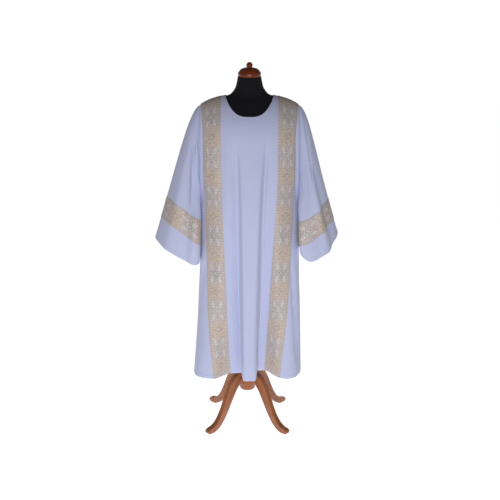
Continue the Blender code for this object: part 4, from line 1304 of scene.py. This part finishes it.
def make_cloth_finish():
    """A fine plain weave with slubs, softly matt."""
    finish = Finish("cloth", Roughness=0.78, Specular_IOR_Level=0.25, Sheen_Weight=0.22, Sheen_Roughness=0.5)
    place, u, v = finish.cut()
    slubs = finish.calc("ADD", finish.noise(place, WARP_SLUBS), finish.noise(place, WEFT_SLUBS))
    wide = finish.noise(place, CLOTH_SHADES, 3.0, 0.6)
    shade = finish.scaled(slubs, 0.55, finish.scaled(wide, 0.9, -0.75), clamp=True)
    finish.use("Base Color", finish.blend(shade, CLOTH_LIGHT, CLOTH_DEEP))
    finish.bump(finish.scaled(slubs, 0.5, finish.weave(u, v, THREAD_MM)), CLOTH_HIGH, 0.6)
    return finish.made


def make_galloon_finish(name, start_mm):
    """A woven galloon: lozenges with four dots, a slender light leaf at each of their corners,
    chevrons and a small motif half way, a lattice of small dots, and beaded borders."""
    finish = Finish(name, Roughness=0.5, Specular_IOR_Level=0.4, Metallic=0.12, Sheen_Weight=0.08)
    place, u, v = finish.cut()
    calc, scaled, times, inside, ring = finish.calc, finish.scaled, finish.times, finish.inside, finish.ring
    x = calc("ABSOLUTE", scaled(u, MM_IN_M, -BAND_WIDTH / 2 * MM_IN_M))
    length = scaled(v, MM_IN_M, start_mm)
    y = calc("PINGPONG", length, REPEAT / 2)
    from_mid = calc("SUBTRACT", REPEAT / 2, y)

    def rest(mask):
        return calc("SUBTRACT", 1.0, mask)

    def paint(tint, *masks):
        nonlocal shade
        shade = finish.blend(times(*masks), shade, tint)

    # The ground, mottled by the weave of its pink, grey and gold threads.
    streaks = finish.noise(place, STREAKS)
    mottle = finish.noise(place, MOTTLE, 2.0, 0.6)
    tints = finish.contrast(finish.noise(place, TINTS, 2.0, 0.6), 3.6)
    patches = finish.contrast(finish.noise(place, PATCHES), 3.0)
    # Painted sheen: a noise for where the metal threads seem to catch the light.
    painted_sheen = finish.contrast(finish.noise(place, SHEEN_PATCHES, 1.0), 2.6)
    warm = scaled(y, 0.007, scaled(streaks, 0.7, -0.55))
    shade = finish.blend(scaled(tints, 0.45, warm, clamp=True), GROUND, GROUND_WARM)
    inner = inside(x, BORDER_FROM - 1.0, 1.0)
    between = times(inside(from_mid, CHEVRONS_REACH, CHEVRONS_FADE), inner)
    paint(OCHRE, patches, between, 0.55)
    paint(PINK, rest(tints), inner, 0.30)
    # The lattice of dots, with finer ones between, and the chevrons half way.
    steps = [calc("PINGPONG", at, DOT_PITCH / 2) for at in (x, y)]
    dots = inside(calc("SQRT", finish.squares(*steps)), DOT_RADIUS, 1.2)
    fine = [calc("SINE", calc("MULTIPLY", at, 2 * math.tau / DOT_PITCH)) for at in (x, y)]
    paint(PINK, scaled(times(*fine), 2.4, -0.6, clamp=True), inner, 0.45)
    chevron = inside(calc("PINGPONG", scaled(x, -CHEVRON_SLOPE, y), DOT_PITCH * 0.75), CHEVRON_HALF, 1.4)
    paint(BROWN, chevron, between, 0.16)
    paint(BROWN, dots, between, 0.34)
    # The leaves, with a darker edge and veins.
    down = scaled(y, 1 / LEAF.high, -LEAF.down / LEAF.high)
    across = scaled(x, 1 / LEAF.wide, -LEAF.across / LEAF.wide)
    across = scaled(down, -LEAF.slant * LEAF.high / LEAF.wide, across)
    leaf = calc("ADD", calc("ABSOLUTE", across), calc("POWER", down, 2.0))
    veins = scaled(calc("ABSOLUTE", calc("SUBTRACT", x, LEAF.across)), VEIN_SLOPE, y)
    veins = inside(calc("PINGPONG", veins, DOT_PITCH / 4), VEIN_HALF, 1.0)
    paint(BROWN, ring(leaf, 1.15, 0.18), 0.35)
    paint(SILVER, inside(leaf, 1.0, 0.4), 0.62)
    paint(SILVER_DEEP, inside(leaf, 0.9, 0.3), veins, 0.35)
    paint(PINK, dots, inner, rest(between), 0.55)
    # The lozenge and its rings. The slate rings and the four dots carry painted sheen: a noise makes them strong in
    # some places and faint in others, where the light seems to catch the metal threads.
    lozenge = scaled(y, LOZENGE_SLOPE, x)
    paint(SAGE, inside(lozenge, LOZENGE_GROUND, 2.0), 0.25)
    for row in LOZENGE_RINGS:
        masks = (painted_sheen, row.strength) if row.tint == SLATE else (row.strength,)
        paint(row.tint, ring(lozenge, row.at, row.half), *masks)
    paint(SILVER, inside(lozenge, LOZENGE_HEART, 1.0), 0.4)
    dot_x, dot_y = calc("MULTIPLY", x, FOUR_WIDE), calc("MULTIPLY", y, FOUR_HIGH)
    beside = finish.squares(calc("SUBTRACT", dot_x, FOUR_BESIDE), dot_y)
    above = finish.squares(calc("SUBTRACT", dot_y, FOUR_ABOVE), dot_x)
    four = inside(calc("MINIMUM", beside, above), 1.0, 0.4)
    paint(finish.blend(painted_sheen, ROSE, SLATE), four, scaled(painted_sheen, 0.4, 0.5))
    # The motif half way.
    middle = scaled(from_mid, 0.8, x)
    for row in MIDDLE_RINGS:
        paint(row.tint, ring(middle, row.at, row.half), row.strength)
    paint(SILVER_DEEP, inside(middle, MIDDLE_HEART, 1.0), 0.6)
    # The borders and their beads.
    bead_down = calc("MULTIPLY", calc("PINGPONG", length, DOT_PITCH / 2), 1 / BEAD_LONG)
    bead_across = scaled(x, 1 / BEAD_WIDE, -BEAD_ACROSS / BEAD_WIDE)
    beads = inside(calc("SQRT", finish.squares(bead_down, bead_across)), 1.0, 0.5)
    paint(BROWN, beads, 0.65)
    for row in BORDER_LINES:
        paint(row.tint, ring(x, row.at, row.half), row.strength)
    paint(BROWN, rest(inside(x, SELVAGE, 0.4)), 0.4)
    # The threads: each small cell of the weave has its own shade.
    at = finish.node("VectorMath", {0: place, 1: THREAD_CELL}, operation="SNAP").outputs[0]
    speckle = finish.node("TexWhiteNoise", {"Vector": at}, noise_dimensions="2D").outputs["Value"]
    light = scaled(speckle, 0.40, scaled(mottle, 1.10, 0.30))
    finish.use("Base Color", finish.node("VectorMath", {0: shade, 3: light}, operation="SCALE").outputs[0])
    finish.use("Roughness", scaled(speckle, 0.25, 0.50))
    raised = calc("ADD", calc("ADD", inside(leaf, 1.0, 0.4), inside(lozenge, LOZENGE_RAISED, 1.5)), beads)
    raised = scaled(times(chevron, between), 0.5, raised)
    finish.bump(scaled(speckle, 0.35, raised), GALLOON_HIGH, 0.7)
    return finish.made


def make_thread_finish(name, tint):
    finish = Finish(name, Roughness=0.55, Sheen_Weight=0.2)
    twist = finish.noise(finish.place(), TWIST, 1.0)
    finish.use("Base Color", finish.blend(twist, tint, darker(tint, THREAD_DARKER)))
    finish.bump(twist, TWIST_HIGH, 0.5)
    return finish.made


def make_jersey_finish():
    """Black knitted jersey: small ribs, with a little lint."""
    finish = Finish("jersey", Roughness=0.9, Specular_IOR_Level=0.2, Sheen_Weight=0.08, Sheen_Roughness=0.4)
    place, u, v = finish.cut()
    lint = finish.noise(place, LINT, 3.0, 0.65)
    finish.use("Base Color", finish.blend(lint, JERSEY_DARK, JERSEY_LINT))
    finish.bump(finish.scaled(lint, 0.4, finish.weave(u, v, KNIT_MM)), KNIT_HIGH, 0.6)
    return finish.made


def make_wood_finish(name, light, dark, on_cut, stretch):
    """Lacquered wood: long grain with darker streaks and fine pores."""
    finish = Finish(name, Roughness=0.40, Specular_IOR_Level=0.3, Coat_Weight=0.30, Coat_Roughness=0.32)
    place = finish.cut()[0] if on_cut else finish.place()
    slow = finish.noise(place, SLOW_GRAIN)
    grain = finish.noise(place, stretch, 4.0, 0.62)
    pores = finish.noise(place, tuple(PORES_FINER * scale for scale in stretch))
    share = finish.scaled(grain, 1.5, finish.scaled(slow, 0.6, -0.62), clamp=True)
    pore = finish.scaled(pores, 4.0, -2.35, clamp=True)
    wood = finish.blend(share, light, dark)
    finish.use("Base Color", finish.blend(pore, wood, darker(dark, PORE_DARKER)))
    finish.use("Roughness", finish.scaled(grain, 0.25, 0.24))
    finish.bump(finish.calc("ADD", grain, pores), WOOD_HIGH, 0.35)
    return finish.made


def make_steel_finish():
    finish = Finish("steel", Metallic=1.0, Roughness=0.3)
    brushed = finish.noise(finish.place(), STEEL_GRAIN, 3.0)
    finish.use("Base Color", finish.blend(brushed, STEEL_LIGHT, STEEL_DARK))
    finish.use("Roughness", finish.scaled(brushed, 0.25, 0.2))
    return finish.made


# ---------------------------------------------------------------- light, floor and camera
Softbox = namedtuple("Softbox", "name place target size watts")
SOFTBOXES = table(
    Softbox,
    ("key", (-0.12, -3.0, 1.2), (0.0, 0.0, 0.75), (0.9, 0.5), 23.4),
    ("back", (0.7, 3.0, 0.9), (0.0, 0.0, 0.6), (1.5, 1.5), 8.0),
)
SPREAD_DEG = 120
SWEEP_TURN, SWEEP_TOP, SWEEP_SOFT = 0.45, 0.26, 8.0  # as parts of the view's direction
SWEEP_WHITE, STUDIO_DIM = colour(1.02, 1.02, 1.02), colour(0.080, 0.080, 0.083)
GLOW_END, GLOW_FADE = -1.9, 1.0  # in front the floor's painted glow fades out, as depth in metres
PAPER_BASE, FLOOR_GLOW = colour(0.80, 0.80, 0.80), colour(1.0, 1.0, 1.0)
FLOOR_Z, FLOOR_HALF = -0.0004, 60.0
CAMERA_HEIGHT, CAMERA_AWAY, CAMERA_DOWN_DEG = 1.6, 3.3, 13.1
CAMERA_PIXELS, PICTURE_PIXELS, SHIFT_PIXELS, SENSOR_MM = 727.0, 500.0, 0.5, 36.0


def make_softbox(box):
    light = bpy.data.lights.new(box.name, "AREA")
    light.shape = "RECTANGLE"
    light.spread = math.radians(SPREAD_DEG)
    light.size, light.size_y = box.size
    light.energy = box.watts
    obj = placed(box.name, light)
    obj.location = box.place
    x, y, z = np.subtract(box.target, box.place)
    obj.rotation_euler = (math.atan2(math.hypot(x, y), -z), 0, math.atan2(y, x) - math.pi / 2)


def make_world():
    """White low down behind the subject, like a paper sweep, and a dim studio elsewhere."""
    world = bpy.data.worlds.new("studio")
    world.use_nodes = True
    bpy.context.scene.world = world
    nodes = Nodes(world.node_tree)
    place = nodes.node("TexCoord", {}).outputs["Generated"]
    back, up = nodes.node("SeparateXYZ", {0: place}).outputs[1:]
    behind = nodes.scaled(back, SWEEP_SOFT, -SWEEP_TURN * SWEEP_SOFT, clamp=True)
    low = nodes.scaled(up, -SWEEP_SOFT, SWEEP_TOP * SWEEP_SOFT, clamp=True)
    shade = nodes.blend(nodes.times(behind, low), STUDIO_DIM, SWEEP_WHITE)
    nodes.tree.links.new(shade, nodes.tree.nodes["Background"].inputs["Color"])


def make_floor():
    corners = [(x * FLOOR_HALF, y * FLOOR_HALF, FLOOR_Z) for x, y in ((-1, -1), (1, -1), (1, 1), (-1, 1))]
    mesh = mesh_of("floor", corners, [(0, 1, 2, 3)])
    finish = Finish(
        "floor", Base_Color=PAPER_BASE, Roughness=0.9, Specular_IOR_Level=0.0, Emission_Strength=0.95
    )
    # The floor glows, though it is no lamp: its emission paints it white behind the subject and dim in front.
    depth = finish.node("SeparateXYZ", {0: finish.place()}).outputs[1]
    glowing = finish.scaled(depth, 1 / GLOW_FADE, -GLOW_END / GLOW_FADE, clamp=True)
    finish.use("Emission Color", finish.blend(glowing, STUDIO_DIM, FLOOR_GLOW))
    mesh.materials.append(finish.made)
    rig.stage(placed("floor", mesh))


def make_camera():
    camera = bpy.data.cameras.new("camera")
    camera.sensor_width = SENSOR_MM
    camera.lens = CAMERA_PIXELS / PICTURE_PIXELS * SENSOR_MM
    camera.shift_x = SHIFT_PIXELS / PICTURE_PIXELS
    obj = placed("camera", camera)
    obj.location = (AXIS_X, -CAMERA_AWAY, CAMERA_HEIGHT)
    obj.rotation_euler = (math.radians(90 - CAMERA_DOWN_DEG), 0, 0)
    bpy.context.scene.camera = obj


# ---------------------------------------------------------------- the scene
# What each piece was cut to, in metres and square metres. A sleeve is cut all round, folded at its top.
Sheet = namedtuple("Sheet", "name width length held rests_on stitching area", defaults=(None,))
BODY_CLOTH, BODY_STITCHES = ("front_panel", "back_panel"), ("hem_stitching", "neck_stitching")
SHEETS = table(
    Sheet,
    ("front_panel", 0.93, 1.33, "draped", ("form_torso",), BODY_STITCHES, 0.835),
    ("back_panel", 0.92, 1.35, "draped", ("form_torso",), (), 0.820),
    ("sleeve_left", 0.91, 0.64, "hung", BODY_CLOTH, ("cuff_stitching_left",), 0.276),
    ("sleeve_right", 0.91, 0.61, "hung", BODY_CLOTH, ("cuff_stitching_right",), 0.247),
    ("band_left", BAND_WIDTH, 2.62, "laid", BODY_CLOTH, ("band_stitching_left",)),
    ("band_right", BAND_WIDTH, 2.62, "laid", BODY_CLOTH, ("band_stitching_right",)),
    ("sleeve_band_left", BAND_WIDTH, 0.70, "laid", ("sleeve_left",), ("sleeve_band_stitching_left",)),
    ("sleeve_band_right", BAND_WIDTH, 0.65, "laid", ("sleeve_right",), ("sleeve_band_stitching_right",)),
)

THREAD_TINT, GOLD_THREAD_TINT = colour(0.62, 0.66, 0.90), colour(0.52, 0.43, 0.36)

pieces = make_dalmatic(
    make_cloth_finish(),
    make_galloon_finish("galloon", GALLOON_START),
    make_galloon_finish("galloon_sleeve", SLEEVE_GALLOON_START),
    make_thread_finish("thread", THREAD_TINT),
    make_thread_finish("galloon_thread", GOLD_THREAD_TINT),
)
stand = {"form_torso": make_torso(make_jersey_finish())}
stand["form_cap"] = make_cap(make_wood_finish("cap_wood", *CAP_TINTS, False, CAP_GRAIN))
leg_wood = make_wood_finish("leg_wood", *LEG_TINTS, True, LEG_GRAIN)
hub_wood = make_wood_finish("hub_wood", *LEG_TINTS, False, HUB_GRAIN)
stand["form_pole"], stand["base_hub"] = make_stand(hub_wood, make_steel_finish())
for number, azimuth in enumerate(LEG_AZIMUTHS_DEG, start=1):
    stand[f"base_leg_{number}"] = make_leg(number, azimuth, leg_wood)

for name, obj in pieces.items():
    if "stitching" not in name:
        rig.replaces(obj, name)
    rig.slot(obj, "galloon" if "band" in name else "cloth")
    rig.ride(obj, "root")
for name, obj in stand.items():
    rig.replaces(obj, name)
    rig.slot(obj, {"form_torso": "jersey", "form_pole": "steel"}.get(name, "wood"))
    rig.ride(obj, "root")

for sheet in SHEETS:
    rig.sheet(
        pieces[sheet.name],
        flat=(sheet.width, sheet.length),
        held=sheet.held,
        rests_on=sheet.rests_on,
        area=sheet.area,
        with_pieces=[pieces[name] for name in sheet.stitching],
    )

make_world()
make_floor()
make_camera()
for softbox in SOFTBOXES:
    make_softbox(softbox)
bpy.context.scene.view_settings.view_transform = "Standard"

dressed_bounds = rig.bounds()
with open("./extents.json", "w") as out:
    json.dump({"cad": [list(c) for c in cad_bounds], "visual": [list(c) for c in dressed_bounds]}, out)
